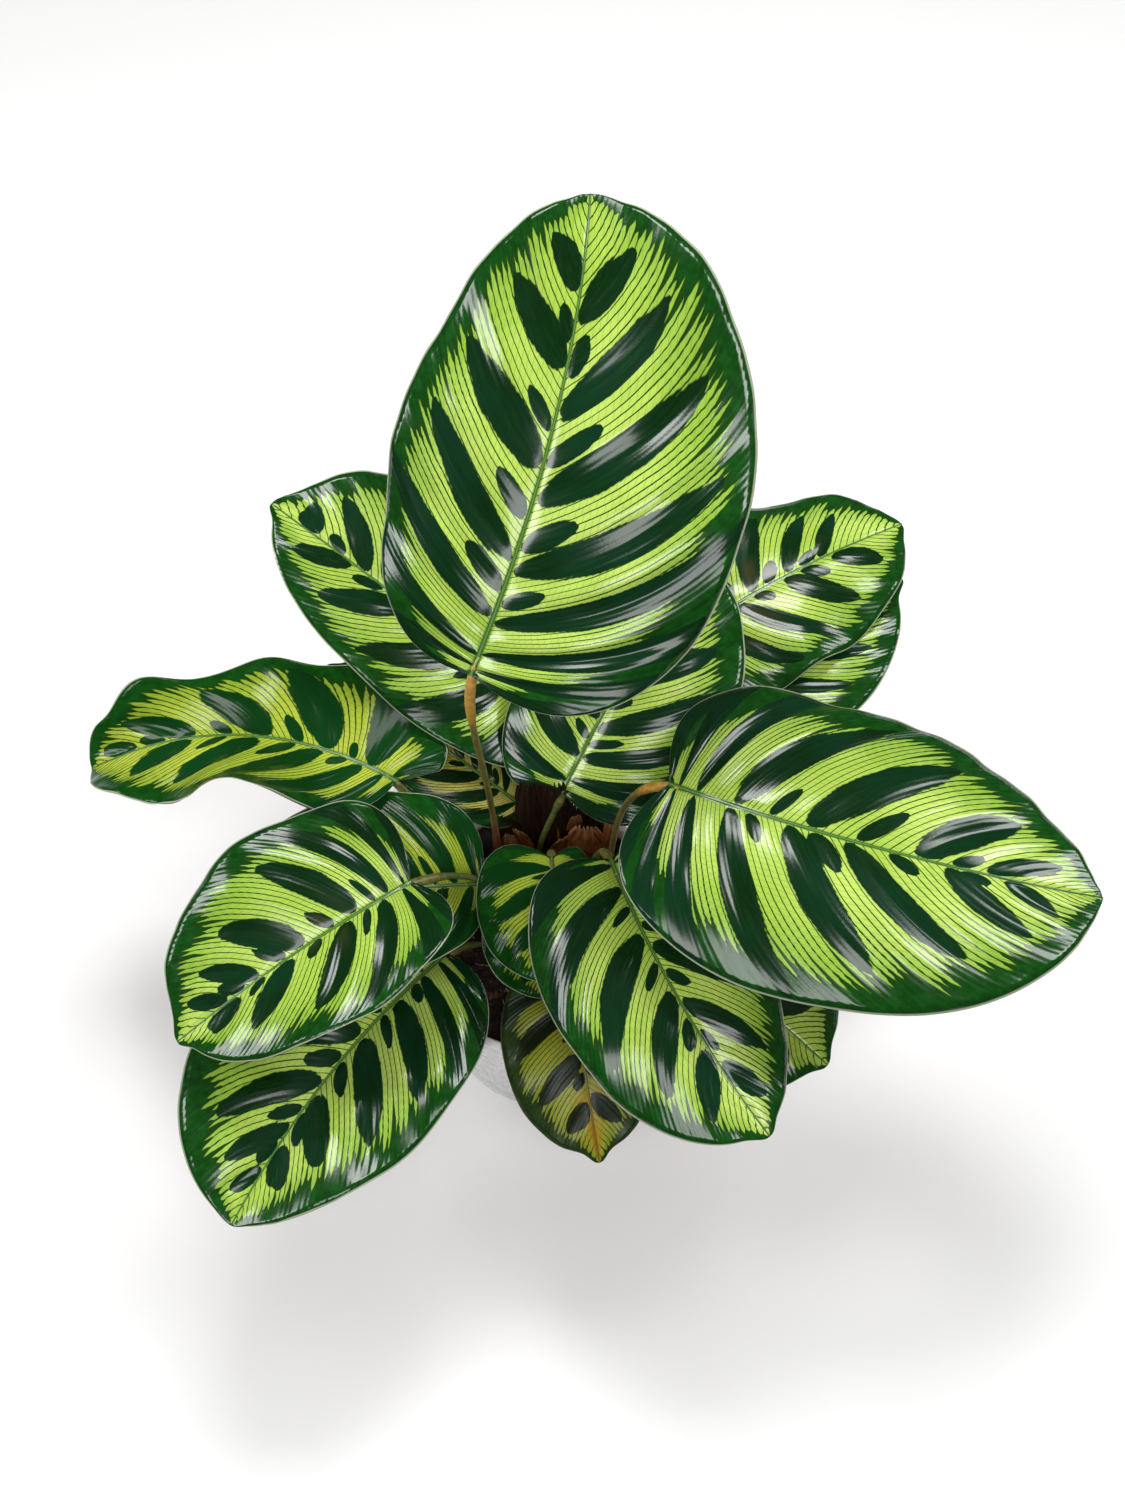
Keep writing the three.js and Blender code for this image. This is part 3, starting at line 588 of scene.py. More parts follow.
# The peacock pattern. Each vein has a line of its own width, which broadens towards the dark margin, and
# every third line can be a bold one
def blade_material(name, tone, gloss=0.37, fading=0.0):
    g = Graph(name)
    cell, signed, arc = g.values("place")
    field, edge, under = g.values("marks")
    rib = g.value("rib")
    left = g.math("GREATER_THAN", signed, 0)
    reach = g.math("ABSOLUTE", signed)
    vein = g.sway(cell, g.stretched(cell, 0.25, signed, 5.0, 2.0), 0.5)
    chance = g.random(g.vector(g.math("FLOOR", vein), left))
    teeth = g.scale(g.to_line(g.scale(arc, 0.46, g.scale(chance, 7.0))), 2.0)
    ragged = g.sway(edge, chance, 0.08)
    ragged = g.sway(ragged, g.stretched(cell, 0.36, left, 9.0, 1.0), 0.18)
    ragged = g.sway(ragged, teeth, 0.02)

    width = g.plus(g.smooth(ragged, 0.1, 0.8, 0.06, 0.09), g.smooth(ragged, 0.85, 1.03, 0.0, 0.5))
    width = g.times(width, g.scale(chance, 0.6, 0.7))
    saw = g.times(g.scale(teeth, 0.1, -0.05), g.smooth(ragged, 0.4, 0.8))
    saw = g.times(saw, g.smooth(ragged, 0.98, 0.86))
    width = g.plus(width, saw)
    near = g.to_line(vein)
    lines = g.rest(g.smooth(near, g.plus(width, -0.03), g.plus(width, 0.06)))
    third = g.scale(vein, 1 / 3)
    bold_chance = g.random(g.vector(g.math("FLOOR", g.plus(third, 0.5)), left, 4.0))
    bold_width = g.times(g.smooth(ragged, 0.58, 1.02, 0.0, 0.62), bold_chance)
    bold_near = g.scale(g.to_line(third), 3.0)
    bold = g.rest(g.smooth(bold_near, g.plus(bold_width, -0.05), g.plus(bold_width, 0.1)))
    lines = g.math("MAXIMUM", lines, bold)
    margin = g.smooth(ragged, 0.94, 1.0)

    mark = g.sway(field, chance, 0.16)
    mark = g.sway(mark, g.stretched(cell, 0.4, signed, 9.0, 3.0), 0.24)
    mark = g.sway(mark, teeth, 0.04)
    mark = g.smooth(mark, -0.05, 0.05)

    place = g.here()
    cloud = g.noise(place, 28.0, 3.0)
    fine = g.noise(place, 260.0, 2.0)
    streak = g.stretched(cell, 2.4, signed, 6.0, 3.0, 0.6)
    light = g.blend(cloud, 0.35, 0.68, tone["light"], tone["bright"])
    light = g.blend(edge, 0.45, 1.0, light, tone["deep"], 0.56)
    ladder = g.rest(g.smooth(teeth, 0.04, 0.14))
    light = g.mix(g.scale(ladder, 0.38), light, tone["line"])
    light = g.blend(streak, 0.3, 0.75, light, tone["deep"], 0.14)
    over = g.mix(lines, light, tone["line"])
    old = g.times(g.smooth(g.noise(place, 34.0, 2.0), 0.45, 0.7), g.smooth(reach, 0.5, 0.06))
    over = g.mix(g.scale(old, fading), over, (0.50, 0.22, 0.012))
    band = g.blend(fine, 0.3, 0.7, tone["margin"], tone["band"])
    band = g.blend(streak, 0.35, 0.75, band, tone["dark"], 0.5)
    over = g.mix(margin, over, band)
    dark = g.blend(cloud, 0.36, 0.66, tone["dark"], tone["cool"])
    dark = g.blend(streak, 0.35, 0.8, dark, tone["band"], 0.22)
    rust = g.times(g.smooth(g.noise(place, 9.0, 1.0), 0.62, 0.72), g.smooth(field, 0.1, 0.8))
    dark = g.mix(g.scale(rust, 0.45), dark, tone["rust"])
    over = g.mix(mark, over, dark)
    ridge = g.rest(g.smooth(rib, 0.9, 1.25))
    beside = g.rest(g.smooth(rib, 1.1, 2.4))
    over = g.mix(g.scale(beside, 0.55), over, tone["band"])
    over = g.mix(ridge, over, g.blend(rib, 0.1, 0.7, tone["rib"], tone["rib_side"]))
    over = g.blend(reach, 0.984, 0.993, over, tone["rim"])

    below = g.mix(g.math("MAXIMUM", lines, margin), tone["under_light"], tone["under_line"])
    below = g.mix(mark, below, tone["under_dark"])
    below = g.blend(cloud, 0.3, 0.7, below, tone["under_line"], 0.4)
    below = g.mix(ridge, below, tone["under_rib"])
    g.set("Base Color", g.mix(under, over, below))

    rough = g.plus(g.smooth(streak, 0.2, 0.8, 0.15, 0.19), g.scale(under, 0.25))
    g.set("Roughness", g.plus(rough, 0.2 * fading))
    g.set("Specular IOR Level", gloss)
    quilt = g.times(g.smooth(near, 0.0, 0.5), g.smooth(reach, 0.02, 0.2))
    height = g.plus(g.scale(quilt, 0.22), g.scale(streak, 0.05))
    height = g.plus(height, g.scale(g.noise(place, 900.0, 2.0), 0.08))
    g.bump(height, 0.00035, 0.5)
    return g.material


# Colours of the upper side's stripes, lines, dark marks, rib and rim, and then of the underside
FRESH = {
    "light": (0.37, 0.55, 0.070), "bright": (0.51, 0.69, 0.135), "deep": (0.14, 0.32, 0.022),
    "line": (0.010, 0.046, 0.004), "margin": (0.004, 0.050, 0.003), "band": (0.007, 0.075, 0.007),
    "dark": (0.002, 0.019, 0.003), "cool": (0.003, 0.028, 0.010), "rust": (0.08, 0.06, 0.025),
    "rib": (0.13, 0.24, 0.06), "rib_side": (0.03, 0.11, 0.016), "rim": (0.40, 0.46, 0.31),
    "under_light": (0.25, 0.30, 0.13), "under_line": (0.19, 0.07, 0.10), "under_dark": (0.13, 0.018, 0.055),
    "under_rib": (0.26, 0.30, 0.12),
}
# For leaves in the shade of others: stripes painted darker as shade, and dark marks a brighter green
SHADED = {**FRESH, "light": (0.36, 0.47, 0.040), "bright": (0.46, 0.56, 0.060), "deep": (0.15, 0.27, 0.015),
          "dark": (0.003, 0.035, 0.005), "cool": (0.004, 0.045, 0.008)}
YELLOWING = {**FRESH, "light": (0.30, 0.37, 0.022), "bright": (0.40, 0.43, 0.03),
             "deep": (0.13, 0.19, 0.012), "line": (0.02, 0.035, 0.004), "margin": (0.012, 0.042, 0.004),
             "band": (0.022, 0.055, 0.006), "dark": (0.004, 0.014, 0.003), "cool": (0.010, 0.018, 0.004),
             "rust": (0.10, 0.05, 0.015), "rib": (0.30, 0.25, 0.06), "rib_side": (0.12, 0.10, 0.02),
             "rim": (0.12, 0.09, 0.04)}
OLIVE = {**FRESH, "light": (0.42, 0.41, 0.070), "bright": (0.55, 0.49, 0.130), "deep": (0.16, 0.22, 0.020),
         "line": (0.008, 0.016, 0.002), "dark": (0.003, 0.014, 0.003), "cool": (0.004, 0.022, 0.005)}


def stalk_material(name, stem_low, stem_high, joint_low, joint_high):
    g = Graph(name)
    share = g.value("share")
    place = g.here()
    fibre = g.noise(place, 420.0, 3.0)
    stem = g.blend(fibre, 0.3, 0.7, stem_low, stem_high)
    foot = g.blend(fibre, 0.35, 0.7, (0.16, 0.045, 0.018), (0.26, 0.11, 0.035))
    joint = g.blend(fibre, 0.3, 0.7, joint_low, joint_high)
    colour = g.blend(share, 0.18, 0.42, foot, stem)
    colour = g.blend(share, 0.78, 0.84, colour, joint)
    g.set("Base Color", g.blend(share, 0.97, 1.0, colour, (0.22, 0.33, 0.07)))
    g.set("Roughness", g.smooth(fibre, 0.2, 0.8, 0.32, 0.5))
    g.bump(g.noise(place, 700.0, 2.0), 0.0002, 0.5)
    return g.material


def make_leaves():
    blades = {
        "fresh": blade_material("leaf_fresh", FRESH),
        "shaded": blade_material("leaf_shaded", SHADED, 0.16),
        "olive": blade_material("leaf_olive", OLIVE, 0.24),
        "yellowing": blade_material("leaf_yellowing", YELLOWING, 0.24, 0.85),
    }
    stalks = {
        "green": stalk_material("stalk", (0.045, 0.075, 0.012), (0.11, 0.13, 0.028),
                                (0.08, 0.09, 0.016), (0.19, 0.17, 0.035)),
        "warm": stalk_material("warm_stalk", (0.12, 0.10, 0.02), (0.21, 0.17, 0.045),
                               (0.42, 0.20, 0.02), (0.62, 0.36, 0.06)),
    }
    for index, leaf in enumerate(LEAVES):
        name = leaf["name"]
        slot = "yellowing_blade" if leaf["tone"] == "yellowing" else "blade"
        add_piece(name + "_fine", blade_mesh(leaf, index), blades[leaf["tone"]], slot, name + "_blade")
        add_piece(name + "_stem", stalk_mesh(leaf, index), stalks[leaf["stalk"]], "stalk", name + "_stalk")


# Dry sheaths: papery strips with split tops, each part of an upright cylinder. Each has its name, the
# cylinder's centre and radius, the strip's heading, how many degrees it spans, how far it leans out and how
# high it stands above the soil
DRY_SHEATHS = [
    ("dry_sheath_left", (-3, 38), 4.6, 250, 140, 10, 22),
    ("dry_sheath_middle", (4, 43), 4.8, 300, 130, 8, 28),
    ("dry_sheath_right", (18, 37), 9, -5, 100, 8, 18),
]
SHEATH_SCRAPS = [
    ("scrap_1", (4, 49), 6, 262, 120, -4, 39),
    ("scrap_2", (20, 52), 15, 265, 80, 2, 36),
    ("scrap_3", (-7, 46), 5, 248, 120, 8, 32),
    ("scrap_4", (30, 44), 7, 225, 110, -6, 34),
    ("scrap_5", (13, 49), 4, 280, 130, 6, 37),
    ("scrap_6", (-14, 46), 7, 262, 90, 2, 24),
]
# Near-black scraps standing tall behind the crown: they paint the deep shade there
DARK_SCRAPS = [
    ("scrap_7", (-6, 52), 9, 268, 100, -3, 56),
    ("scrap_8", (3.5, 52), 9, 275, 150, -3, 54),
    ("scrap_9", (-15, 50), 8, 262, 100, -2, 30),
    ("scrap_10", (15, 53), 10, 265, 90, -3, 40),
    ("scrap_11", (26, 50), 10, 250, 90, -4, 38),
]
SHEATH_BURIED = 9
SHEATH_NARROWING = 0.6
SHEATH_THICKNESS = 0.5


def sheath_mesh(strip, seed):
    name, middle, base_radius, heading, span, lean, height = strip
    rows = 44
    columns = 34
    random = np.random.default_rng(seed)
    share, place = np.meshgrid(np.linspace(0, 1, rows), np.linspace(-0.5, 0.5, columns), indexing="ij")
    splits = 0.06 * np.sin(31 * place + random.uniform(0, 6))
    splits += 0.05 * np.sin(67 * place + random.uniform(0, 6))
    length = (height * (1 - np.clip(splits, -0.02, 0.12) * 1.6) + SHEATH_BURIED) * share
    heading = math.radians(heading)
    outward = np.array([math.cos(heading), math.sin(heading), 0])
    sideways = np.array([-math.sin(heading), math.cos(heading), 0])
    lean = np.radians(lean * share)
    turn = place * np.radians(span) * (1 - SHEATH_NARROWING * share**3)
    fold = 0.25 * np.sin(26 * place + 2 * share) + 0.2 * share * np.sin(9 * share + 14 * place)
    radius = base_radius + fold * smooth(share, 0.15, 0.5)
    centre = np.array([*middle, SOIL_LEVEL - SHEATH_BURIED]) + outward * (length * np.sin(lean))[..., None]
    centre[..., 2] += length * np.cos(lean)
    out = outward * np.cos(turn)[..., None] + sideways * np.sin(turn)[..., None]
    skin = centre + out * radius[..., None]
    half = SHEATH_THICKNESS / 2 * (1 - 0.5 * share[..., None])
    places = np.concatenate([skin + out * half, (skin - out * half)[:, ::-1]], 1).reshape(-1, 3)
    mesh = new_mesh(name + "_fine", places, strip_faces(rows, columns)[:, ::-1].tolist())
    around = np.concatenate([place, place[:, ::-1]], 1).ravel()
    add_values(mesh, "place", np.stack([around, np.tile(share, (1, 2)).ravel(), 0 * around], -1))
    return mesh


def sheath_material(name, shade_share=0.0):
    g = Graph(name)
    around, share, _ = g.values("place")
    fibre = g.stretched(around, 40.0, share, 4.0, 4.0, 0.6)
    patch = g.noise(g.here(), 90.0, 2.0)
    colour = g.blend(fibre, 0.3, 0.7, (0.13, 0.032, 0.009), (0.45, 0.16, 0.038))
    colour = g.blend(patch, 0.45, 0.75, colour, (0.50, 0.25, 0.07), 0.7)
    colour = g.blend(share, 0.75, 1.0, colour, (0.40, 0.24, 0.12), 0.6)
    # Near-black colour that paints shade
    shade_black = g.blend(fibre, 0.3, 0.75, (0.006, 0.004, 0.002), (0.025, 0.012, 0.005))
    g.set("Base Color", g.mix(shade_share, colour, shade_black))
    g.set("Roughness", g.smooth(fibre, 0.2, 0.8, 0.55, 0.8))
    g.set("Specular IOR Level", 0.12)
    g.bump(fibre, 0.0004, 0.8)
    return g.material


def make_sheaths():
    material = sheath_material("dry_sheath")
    # Near-black sheath material: painted shade for the scraps behind the crown
    shade_black = sheath_material("shade_sheath", 0.97)
    for seed, strip in enumerate(DRY_SHEATHS, 700):
        add_piece(strip[0] + "_fine", sheath_mesh(strip, seed), material, "dry_sheath", strip[0])
    for seed, strip in enumerate(SHEATH_SCRAPS, 720):
        add_piece(strip[0], sheath_mesh(strip, seed), material, "dry_sheath")
    for seed, strip in enumerate(DARK_SCRAPS, 740):
        add_piece(strip[0], sheath_mesh(strip, seed), shade_black, "dry_sheath")


# Turned shapes: a profile of (radius, height) that starts and ends on the axis
def turned_mesh(name, profile, segments):
    angles = 2 * np.pi * np.arange(segments) / segments
    ring = np.stack([np.cos(angles), np.sin(angles)], -1)
    body = [np.concatenate([ring * r, np.full((segments, 1), z)], 1) for r, z in profile[1:-1]]
    places = np.concatenate([*body, [(0, 0, profile[0][1]), (0, 0, profile[-1][1])]])
    return new_mesh(name, places, tube_faces(len(body), segments))


def arc(centre, radius, start, end, count):
    turns = np.radians(np.linspace(start, end, count))
    return [(centre[0] + radius * math.cos(a), centre[1] + radius * math.sin(a)) for a in turns]


def inner_radius(z):
    widening = (SHOULDER_RADIUS - WALL_START) * (z - POT_FLOOR) / (SHOULDER_HEIGHT - POT_FLOOR)
    return WALL_START + widening - POT_WALL


SOIL_EDGE = inner_radius(SOIL_LEVEL - SOIL_MOUND) - SOIL_CLEARANCE


def pot_profile():
    outer = [
        (0, 0),
        *arc((PAD_RADIUS - 0.6, 0.6), 0.6, -90, 0, 4),
        (PAD_RADIUS + 1.5, POT_RECESS),
        (FOOT_RADIUS - 6, POT_RECESS),
        *arc((FOOT_RADIUS - 4, 0.7), 0.7, 180, 270, 4),
        *arc((FOOT_RADIUS - 1, 1), 1, -90, 0, 5),
        (FOOT_RADIUS, 3.4),
        (FOOT_RADIUS - 0.3, 4.1),
        (WALL_START, POT_FLOOR),
        (SHOULDER_RADIUS - 0.15, SHOULDER_HEIGHT - 1.5),
        (SHOULDER_RADIUS + 0.3, SHOULDER_HEIGHT + 0.1),
        (COLLAR_RADIUS - 0.5, SHOULDER_HEIGHT + 0.9),
        (COLLAR_RADIUS, SHOULDER_HEIGHT + 1.6),
        (COLLAR_RADIUS + 0.5, POT_HEIGHT - 4.2),
        (COLLAR_RADIUS + 0.8, POT_HEIGHT - 3.2),
        (RIM_RADIUS - 0.7, POT_HEIGHT - 2.6),
        *arc((RIM_RADIUS - 0.7, POT_HEIGHT - 1.9), 0.7, -60, 0, 4),
        *arc((RIM_RADIUS - 1.2, POT_HEIGHT - 1.2), 1.2, 0, 90, 7),
        (RIM_RADIUS - 2.6, POT_HEIGHT - 0.1),
    ]
    inner = [
        (COLLAR_RADIUS - POT_WALL, POT_HEIGHT - 0.7),
        (COLLAR_RADIUS - POT_WALL - 0.4, SHOULDER_HEIGHT + 2.6),
        (SHOULDER_RADIUS - POT_WALL, SHOULDER_HEIGHT + 0.8),
        (inner_radius(POT_FLOOR + 2), POT_FLOOR + 2),
        (inner_radius(POT_FLOOR) - 2, POT_FLOOR),
        (0, POT_FLOOR),
    ]
    return outer + inner


# Puts more points on the straight runs of a profile, so that smooth shading stays true there
def refined(profile, step):
    points = [profile[0]]
    for (r0, z0), (r1, z1) in zip(profile, profile[1:]):
        pieces = max(1, math.ceil(math.hypot(r1 - r0, z1 - z0) / step))
        for k in range(1, pieces + 1):
            points.append((r0 + (r1 - r0) * k / pieces, z0 + (z1 - z0) * k / pieces))
    return points


def cutter_mesh():
    sides = 24
    places = []
    faces = []
    for hole in range(DRAIN_COUNT):
        angle = 2 * math.pi * hole / DRAIN_COUNT
        x = DRAIN_CIRCLE * math.cos(angle)
        y = DRAIN_CIRCLE * math.sin(angle)
        first = len(places)
        for z in (-4, 4 * POT_FLOOR):
            for k in range(sides):
                turn = 2 * math.pi * k / sides
                places.append((x + DRAIN_RADIUS * math.cos(turn), y + DRAIN_RADIUS * math.sin(turn), z))
        for k in range(sides):
            after = (k + 1) % sides
            faces.append([first + k, first + after, first + sides + after, first + sides + k])
        faces.append([first + k for k in reversed(range(sides))])
        faces.append([first + sides + k for k in range(sides)])
    mesh = bpy.data.meshes.new("drain_cutter")
    mesh.from_pydata((np.array(places) * MM).tolist(), [], faces)
    return mesh


# In metres: the radius of the middle of the pot's wall at the floor, how fast it widens upwards, the heights
# between which it steps out to the collar, and those where the painted shade on its inside begins and ends
WALL_FOOT = 0.04324
WALL_SLOPE = 0.1206
WALL_STEP = (0.0945, 0.0965)
INNER_SHADE_FOOT = (0.0046, 0.0066)
INNER_SHADE_TOP = (0.106, 0.101)


def pot_material():
    g = Graph("pot")
    place = g.here()
    x, y, z = g.split(place)
    radius = g.math("SQRT", g.plus(g.times(x, x), g.times(y, y)))
    haze = g.noise(place, 60.0, 3.0)
    dust = g.noise(place, 800.0, 2.0)
    colour = g.blend(haze, 0.3, 0.75, (0.78, 0.80, 0.79), (0.81, 0.82, 0.81))
    colour = g.blend(dust, 0.62, 0.75, colour, (0.45, 0.40, 0.33), 0.25)
    # Painted shade darkens the inside, which starts halfway through the wall, from the floor to near the rim
    wall = g.plus(g.scale(z, WALL_SLOPE, WALL_FOOT), g.smooth(z, *WALL_STEP, 0.0, 0.0025))
    inner = g.math("SUBTRACT", radius, g.math("MINIMUM", wall, (COLLAR_RADIUS - POT_WALL / 2) * MM))
    inner_shade_edge = g.sway(z, g.noise(place, 70.0, 3.0), 0.02)
    inner_shade = g.times(g.smooth(inner, 0.0003, -0.0003), g.smooth(inner_shade_edge, *INNER_SHADE_TOP))
    inner_shade = g.times(inner_shade, g.smooth(z, *INNER_SHADE_FOOT))
    shade_colour = g.blend(dust, 0.4, 0.65, (0.008, 0.005, 0.003), (0.035, 0.022, 0.014))
    g.set("Base Color", g.mix(g.scale(inner_shade, 0.97), colour, shade_colour))
    g.set("Roughness", g.mix(inner_shade, g.smooth(haze, 0.3, 0.7, 0.22, 0.34), (0.8, 0.8, 0.8)))
    g.set("Subsurface Weight", g.math("SUBTRACT", 0.2, g.scale(inner_shade, 0.2)))
    g.set("Subsurface Radius", (1.0, 1.0, 1.0))
    g.set("Subsurface Scale", 0.003)
    g.bump(g.noise(place, 350.0, 2.0), 0.0001, 0.4)
    return g.material


def make_pot():
    mesh = turned_mesh("pot_fine", refined(pot_profile(), 8), POT_SEGMENTS)
    piece = add_piece("pot_fine", mesh, pot_material(), "pot", "pot")
    cutter = new_object("drain_cutter", cutter_mesh())
    cut = piece.modifiers.new("drains", "BOOLEAN")
    cut.object = cutter
    cut.solver = "EXACT"
    bpy.context.view_layer.update()
    made = bpy.data.meshes.new_from_object(piece.evaluated_get(bpy.context.evaluated_depsgraph_get()))
    piece.modifiers.clear()
    piece.data = made
    bpy.data.objects.remove(cutter)


def soil_height(x, y):
    share = min(math.hypot(x, y) / SOIL_EDGE, 1)
    lumps = math.sin(0.31 * x + 1.3) * math.cos(0.37 * y) + 0.5 * math.sin(0.83 * x - 0.6 * y)
    lumps += 0.4 * math.cos(0.9 * y)
    grain = noise.fractal(Vector((x * 0.35, y * 0.35, 3)), 0.6, 2.1, 4)
    fade = 1 - smooth(share, 0.9, 1.0)
    return SOIL_LEVEL - SOIL_MOUND * share**2 + (SOIL_LUMPS * lumps + SOIL_GRAIN * grain) * fade


def soil_mesh():
    bottom = POT_FLOOR + SOIL_CLEARANCE
    profile = [
        (0, bottom),
        (inner_radius(bottom) - 2 - SOIL_CLEARANCE, bottom),
        (inner_radius(bottom + 2) - SOIL_CLEARANCE, bottom + 2),
        (SOIL_EDGE, SOIL_LEVEL - SOIL_MOUND),
        *[(SOIL_EDGE * (1 - k / SOIL_RINGS), SOIL_LEVEL) for k in range(1, SOIL_RINGS)],
        (0, SOIL_LEVEL),
    ]
    mesh = turned_mesh("soil_fine", profile, SOIL_SEGMENTS)
    for vertex in mesh.vertices:
        x, y, z = vertex.co / MM
        if z > SOIL_LEVEL - 1:
            vertex.co.z = soil_height(x, y) * MM
    return mesh


def soil_material():
    g = Graph("soil")
    place = g.here()
    grain = g.noise(place, 520.0, 4.0, 0.65)
    clump = g.noise(place, 130.0, 3.0)
    colour = g.blend(grain, 0.35, 0.7, (0.006, 0.004, 0.003), (0.035, 0.022, 0.014))
    g.set("Base Color", g.blend(clump, 0.5, 0.75, colour, (0.05, 0.028, 0.015), 0.5))
    g.set("Roughness", 0.92)
    g.bump(g.plus(grain, clump), 0.0012, 0.9)
    return g.material


# Loose bits on the soil: blocky lumps scaled and turned at random, in one mesh
def bits_mesh(name, seed, count, sizes, longest, reach, lift):
    random = np.random.default_rng(seed)
    block = np.array([(x, y, z) for x in (-1, 1) for y in (-1, 1) for z in (-1, 1)], float)
    lump = np.concatenate([block * 0.62, np.eye(3), -np.eye(3)])
    corners = [(0, 1, 3, 2), (4, 6, 7, 5), (0, 4, 5, 1), (2, 3, 7, 6), (0, 2, 6, 4), (1, 5, 7, 3)]
    tops = (11, 8, 12, 9, 13, 10)
    triangles = []
    for (a, b, c, d), top in zip(corners, tops):
        triangles += [(a, b, top), (b, c, top), (c, d, top), (d, a, top)]
    triangles = np.array(triangles)
    places = []
    faces = []
    for _ in range(count):
        radius = reach * math.sqrt(random.uniform(0.0, 1.0))
        angle = random.uniform(0, 2 * math.pi)
        x = radius * math.cos(angle)
        y = radius * math.sin(angle)
        size = random.uniform(*sizes)
        shape = lump * (1 + random.uniform(-0.22, 0.22, lump.shape))
        stretch = [random.uniform(1, longest), random.uniform(0.6, 1), random.uniform(0.4, 0.8)]
        shape *= np.array(stretch) * size
        turn = Matrix.Rotation(random.uniform(0, 6.28), 3, "Z")
        turn = turn @ Matrix.Rotation(random.uniform(-0.5, 0.5), 3, "X")
        centre = np.array([x, y, soil_height(x, y) + lift * size])
        places.append(shape @ np.array(turn).T + centre)
        faces.append(triangles + len(lump) * len(faces))
    return new_mesh(name, np.concatenate(places), np.concatenate(faces).tolist())


def bits_material(name, low, high, roughness):
    g = Graph(name)
    place = g.here()
    mottle = g.noise(place, 600.0, 3.0)
    broad = g.noise(place, 110.0, 1.0)
    colour = g.blend(broad, 0.35, 0.65, low, high)
    g.set("Base Color", g.blend(mottle, 0.4, 0.7, colour, low, 0.5))
    g.set("Roughness", roughness)
    g.bump(mottle, 0.0004, 0.6)
    return g.material


# Fine roots that lie on the soil, in one mesh
def root_mesh(name, seed, count, reach):
    random = np.random.default_rng(seed)
    places = []
    faces = []
    for _ in range(count):
        angle = random.uniform(0, 2 * math.pi)
        radius = reach * math.sqrt(random.uniform(0.05, 1.0))
        x = radius * math.cos(angle)
        y = radius * math.sin(angle)
        heading = random.uniform(0, 2 * math.pi)
        bend = random.uniform(-0.12, 0.12)
        path = []
        for step in range(16):
            if math.hypot(x, y) > reach:
                break
            arch = 0.9 * math.sin(math.pi * step / 15)
            path.append((x, y, soil_height(x, y) + 0.1 + arch))
            x += 1.1 * math.cos(heading)
            y += 1.1 * math.sin(heading)
            heading += bend + random.uniform(-0.25, 0.25)
        if len(path) > 5:
            radii = np.linspace(0.32, 0.12, len(path)) * random.uniform(0.7, 1.3)
            tube_places, own_faces = tube_shape(path, radii, (0, 0, 1), 6)
            faces += [[len(places) + k for k in face] for face in own_faces]
            places += tube_places.tolist()
    return new_mesh(name, places, faces)


def make_soil():
    add_piece("soil_fine", soil_mesh(), soil_material(), "soil", "soil")
    reach = inner_radius(SOIL_LEVEL - SOIL_MOUND) - 2.5
    peat = bits_material("peat", (0.010, 0.006, 0.004), (0.045, 0.025, 0.014), 0.95)
    bark = bits_material("bark", (0.035, 0.015, 0.007), (0.16, 0.075, 0.03), 0.8)
    grit = bits_material("grit", (0.45, 0.43, 0.38), (0.75, 0.73, 0.68), 0.85)
    root = bits_material("root", (0.42, 0.33, 0.22), (0.68, 0.60, 0.47), 0.6)
    add_piece("peat_crumbs", bits_mesh("peat_crumbs", 11, 1500, (0.35, 1.3), 1.6, reach, 0.15), peat, "soil")
    add_piece("bark_chips", bits_mesh("bark_chips", 12, 260, (0.6, 1.7), 3.0, reach, 0.25), bark, "soil")
    add_piece("grit", bits_mesh("grit", 13, 90, (0.3, 0.9), 1.3, reach, 0.3), grit, "soil")
    add_piece("root_hairs", root_mesh("root_hairs", 14, 46, reach), root, "soil")


# The photograph's camera: frame height and focal length in pixels, elevation in degrees above the horizon
FRAME_HEIGHT = 1500
FOCAL = 1700
SENSOR = 36
CAMERA_PLACE = (8.4, -302.7, 781.9)
CAMERA_ELEVATION = 60
CAMERA_CLIP = (0.01, 50)


def make_camera():
    data = bpy.data.cameras.new("camera")
    data.sensor_width = SENSOR
    data.lens = FOCAL / FRAME_HEIGHT * SENSOR
    data.clip_start, data.clip_end = CAMERA_CLIP
    camera = new_object("camera", data)
    camera.location = Vector(CAMERA_PLACE) * MM
    camera.rotation_euler = (math.radians(90 - CAMERA_ELEVATION), 0, 0)
    bpy.context.scene.camera = camera


# The room: the light it gives, how bright it looks, and between what distances in metres the floor fades out
ROOM_LIGHT = 0.07
ROOM_BRIGHTNESS = 0.95
FADE_START = 0.9
FADE_END = 1.8
FLOOR_HALF = 2.0

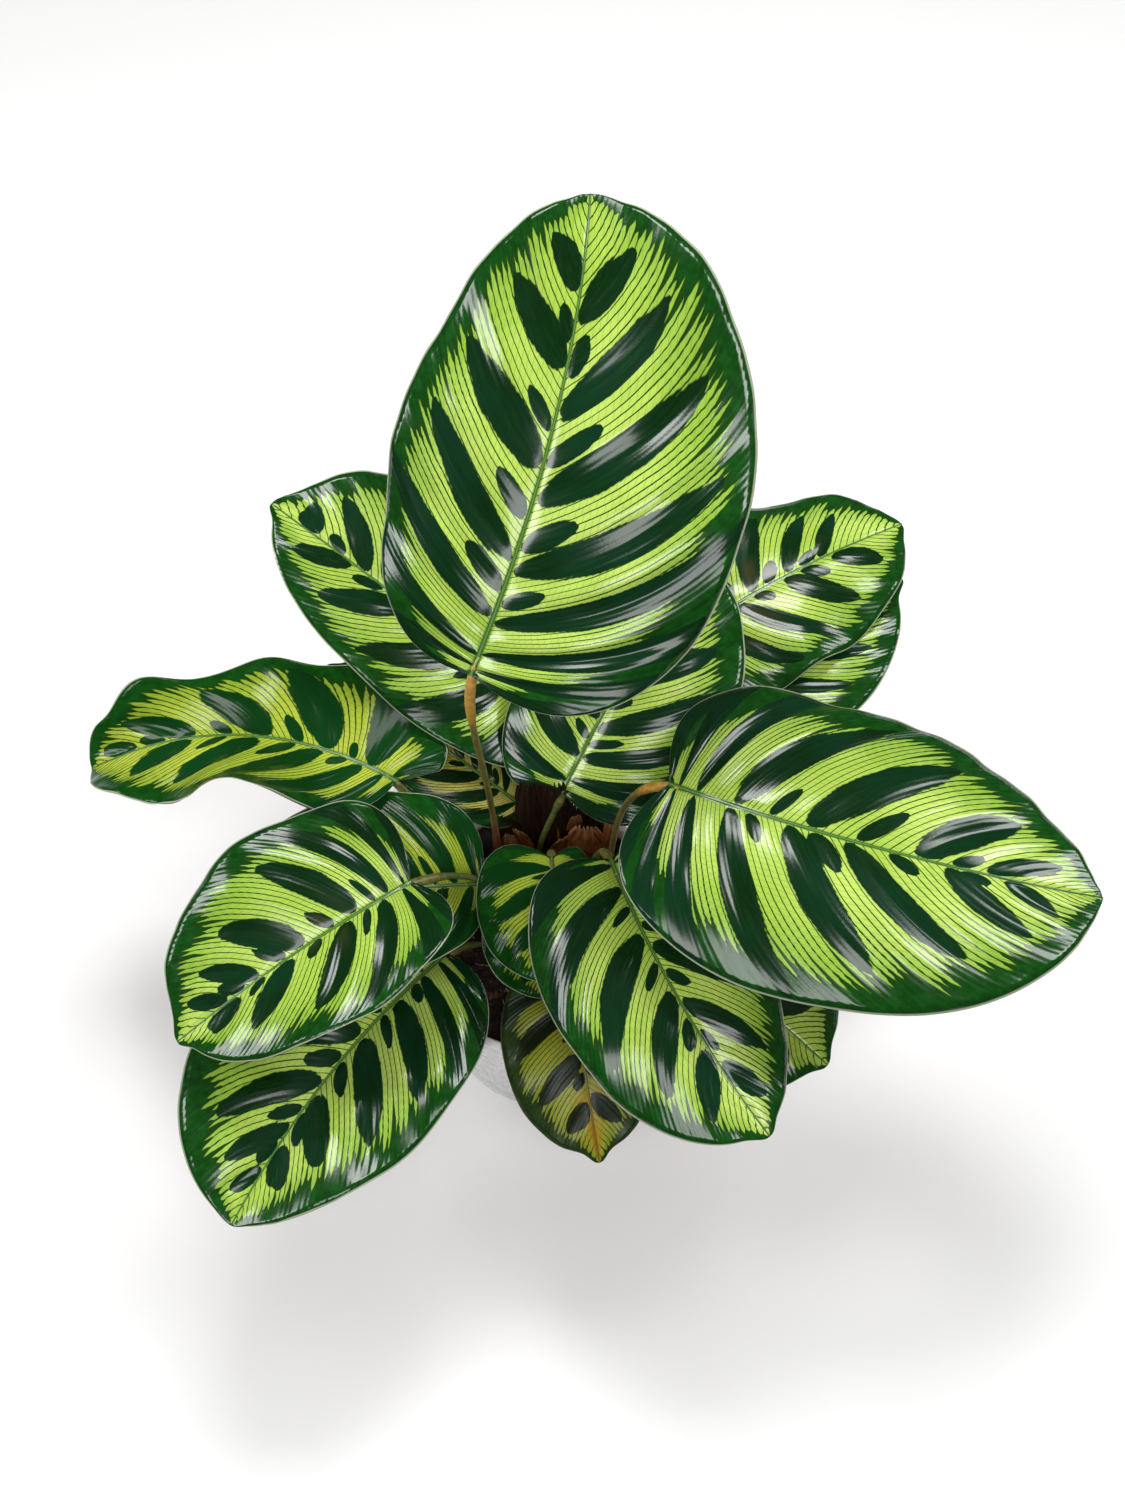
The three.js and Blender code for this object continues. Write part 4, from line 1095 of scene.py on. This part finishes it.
# Soft boxes: name, place and target in millimetres, size in metres, and power
LIGHTS = (
    ("back", (0, 700, 1450), (0, 20, 150), (0.56, 0.36), 11),
    ("left", (-1100, 100, 1050), (0, 20, 150), (0.38, 0.56), 9),
    ("right", (1100, 300, 1050), (0, 20, 150), (0.38, 0.56), 9),
    ("front", (100, -750, 1500), (0, 0, 120), (0.8, 0.5), 11),
)


def add_light(name, place, target, size, power):
    data = bpy.data.lights.new(name, "AREA")
    data.shape = "RECTANGLE"
    data.size, data.size_y = size
    data.energy = power
    lamp = new_object(name, data)
    lamp.location = Vector(place) * MM
    aim = Vector(target) - Vector(place)
    lamp.rotation_euler = aim.to_track_quat("-Z", "Y").to_euler()


def make_stage():
    mesh = bpy.data.meshes.new("floor")
    corners = [(x * FLOOR_HALF, y * FLOOR_HALF, 0) for x, y in ((-1, -1), (1, -1), (1, 1), (-1, 1))]
    mesh.from_pydata(corners, [], [(0, 1, 2, 3)])
    floor = new_object("floor", mesh)
    g = Graph("floor")
    g.set("Base Color", (0.93, 0.93, 0.92))
    g.set("Roughness", 0.9)
    g.set("Specular IOR Level", 0.1)
    distance = g.add("VectorMath", operation="LENGTH")
    g.put(distance.inputs[0], g.here())
    g.set("Alpha", g.smooth(distance.outputs["Value"], FADE_START, FADE_END, 1.0, 0.0))
    mesh.materials.append(g.material)
    world = bpy.data.worlds.new("studio")
    world.use_nodes = True
    tree = world.node_tree
    # The room is pale to look at, and gives little light
    path = tree.nodes.new("ShaderNodeLightPath")
    seen = tree.nodes.new("ShaderNodeMapRange")
    for socket, value in zip(seen.inputs, (0.0, 0.0, 1.0, ROOM_LIGHT, ROOM_BRIGHTNESS)):
        socket.default_value = value
    tree.links.new(path.outputs["Is Camera Ray"], seen.inputs[0])
    tree.links.new(seen.outputs[0], tree.nodes["Background"].inputs["Strength"])
    tree.nodes["Background"].inputs["Color"].default_value = (1.0, 1.0, 1.0, 1)
    bpy.context.scene.world = world
    for light in LIGHTS:
        add_light(*light)
    view = bpy.context.scene.view_settings
    view.view_transform = "Standard"
    view.look = "None"


make_leaves()
make_sheaths()
make_pot()
make_soil()
make_camera()
make_stage()
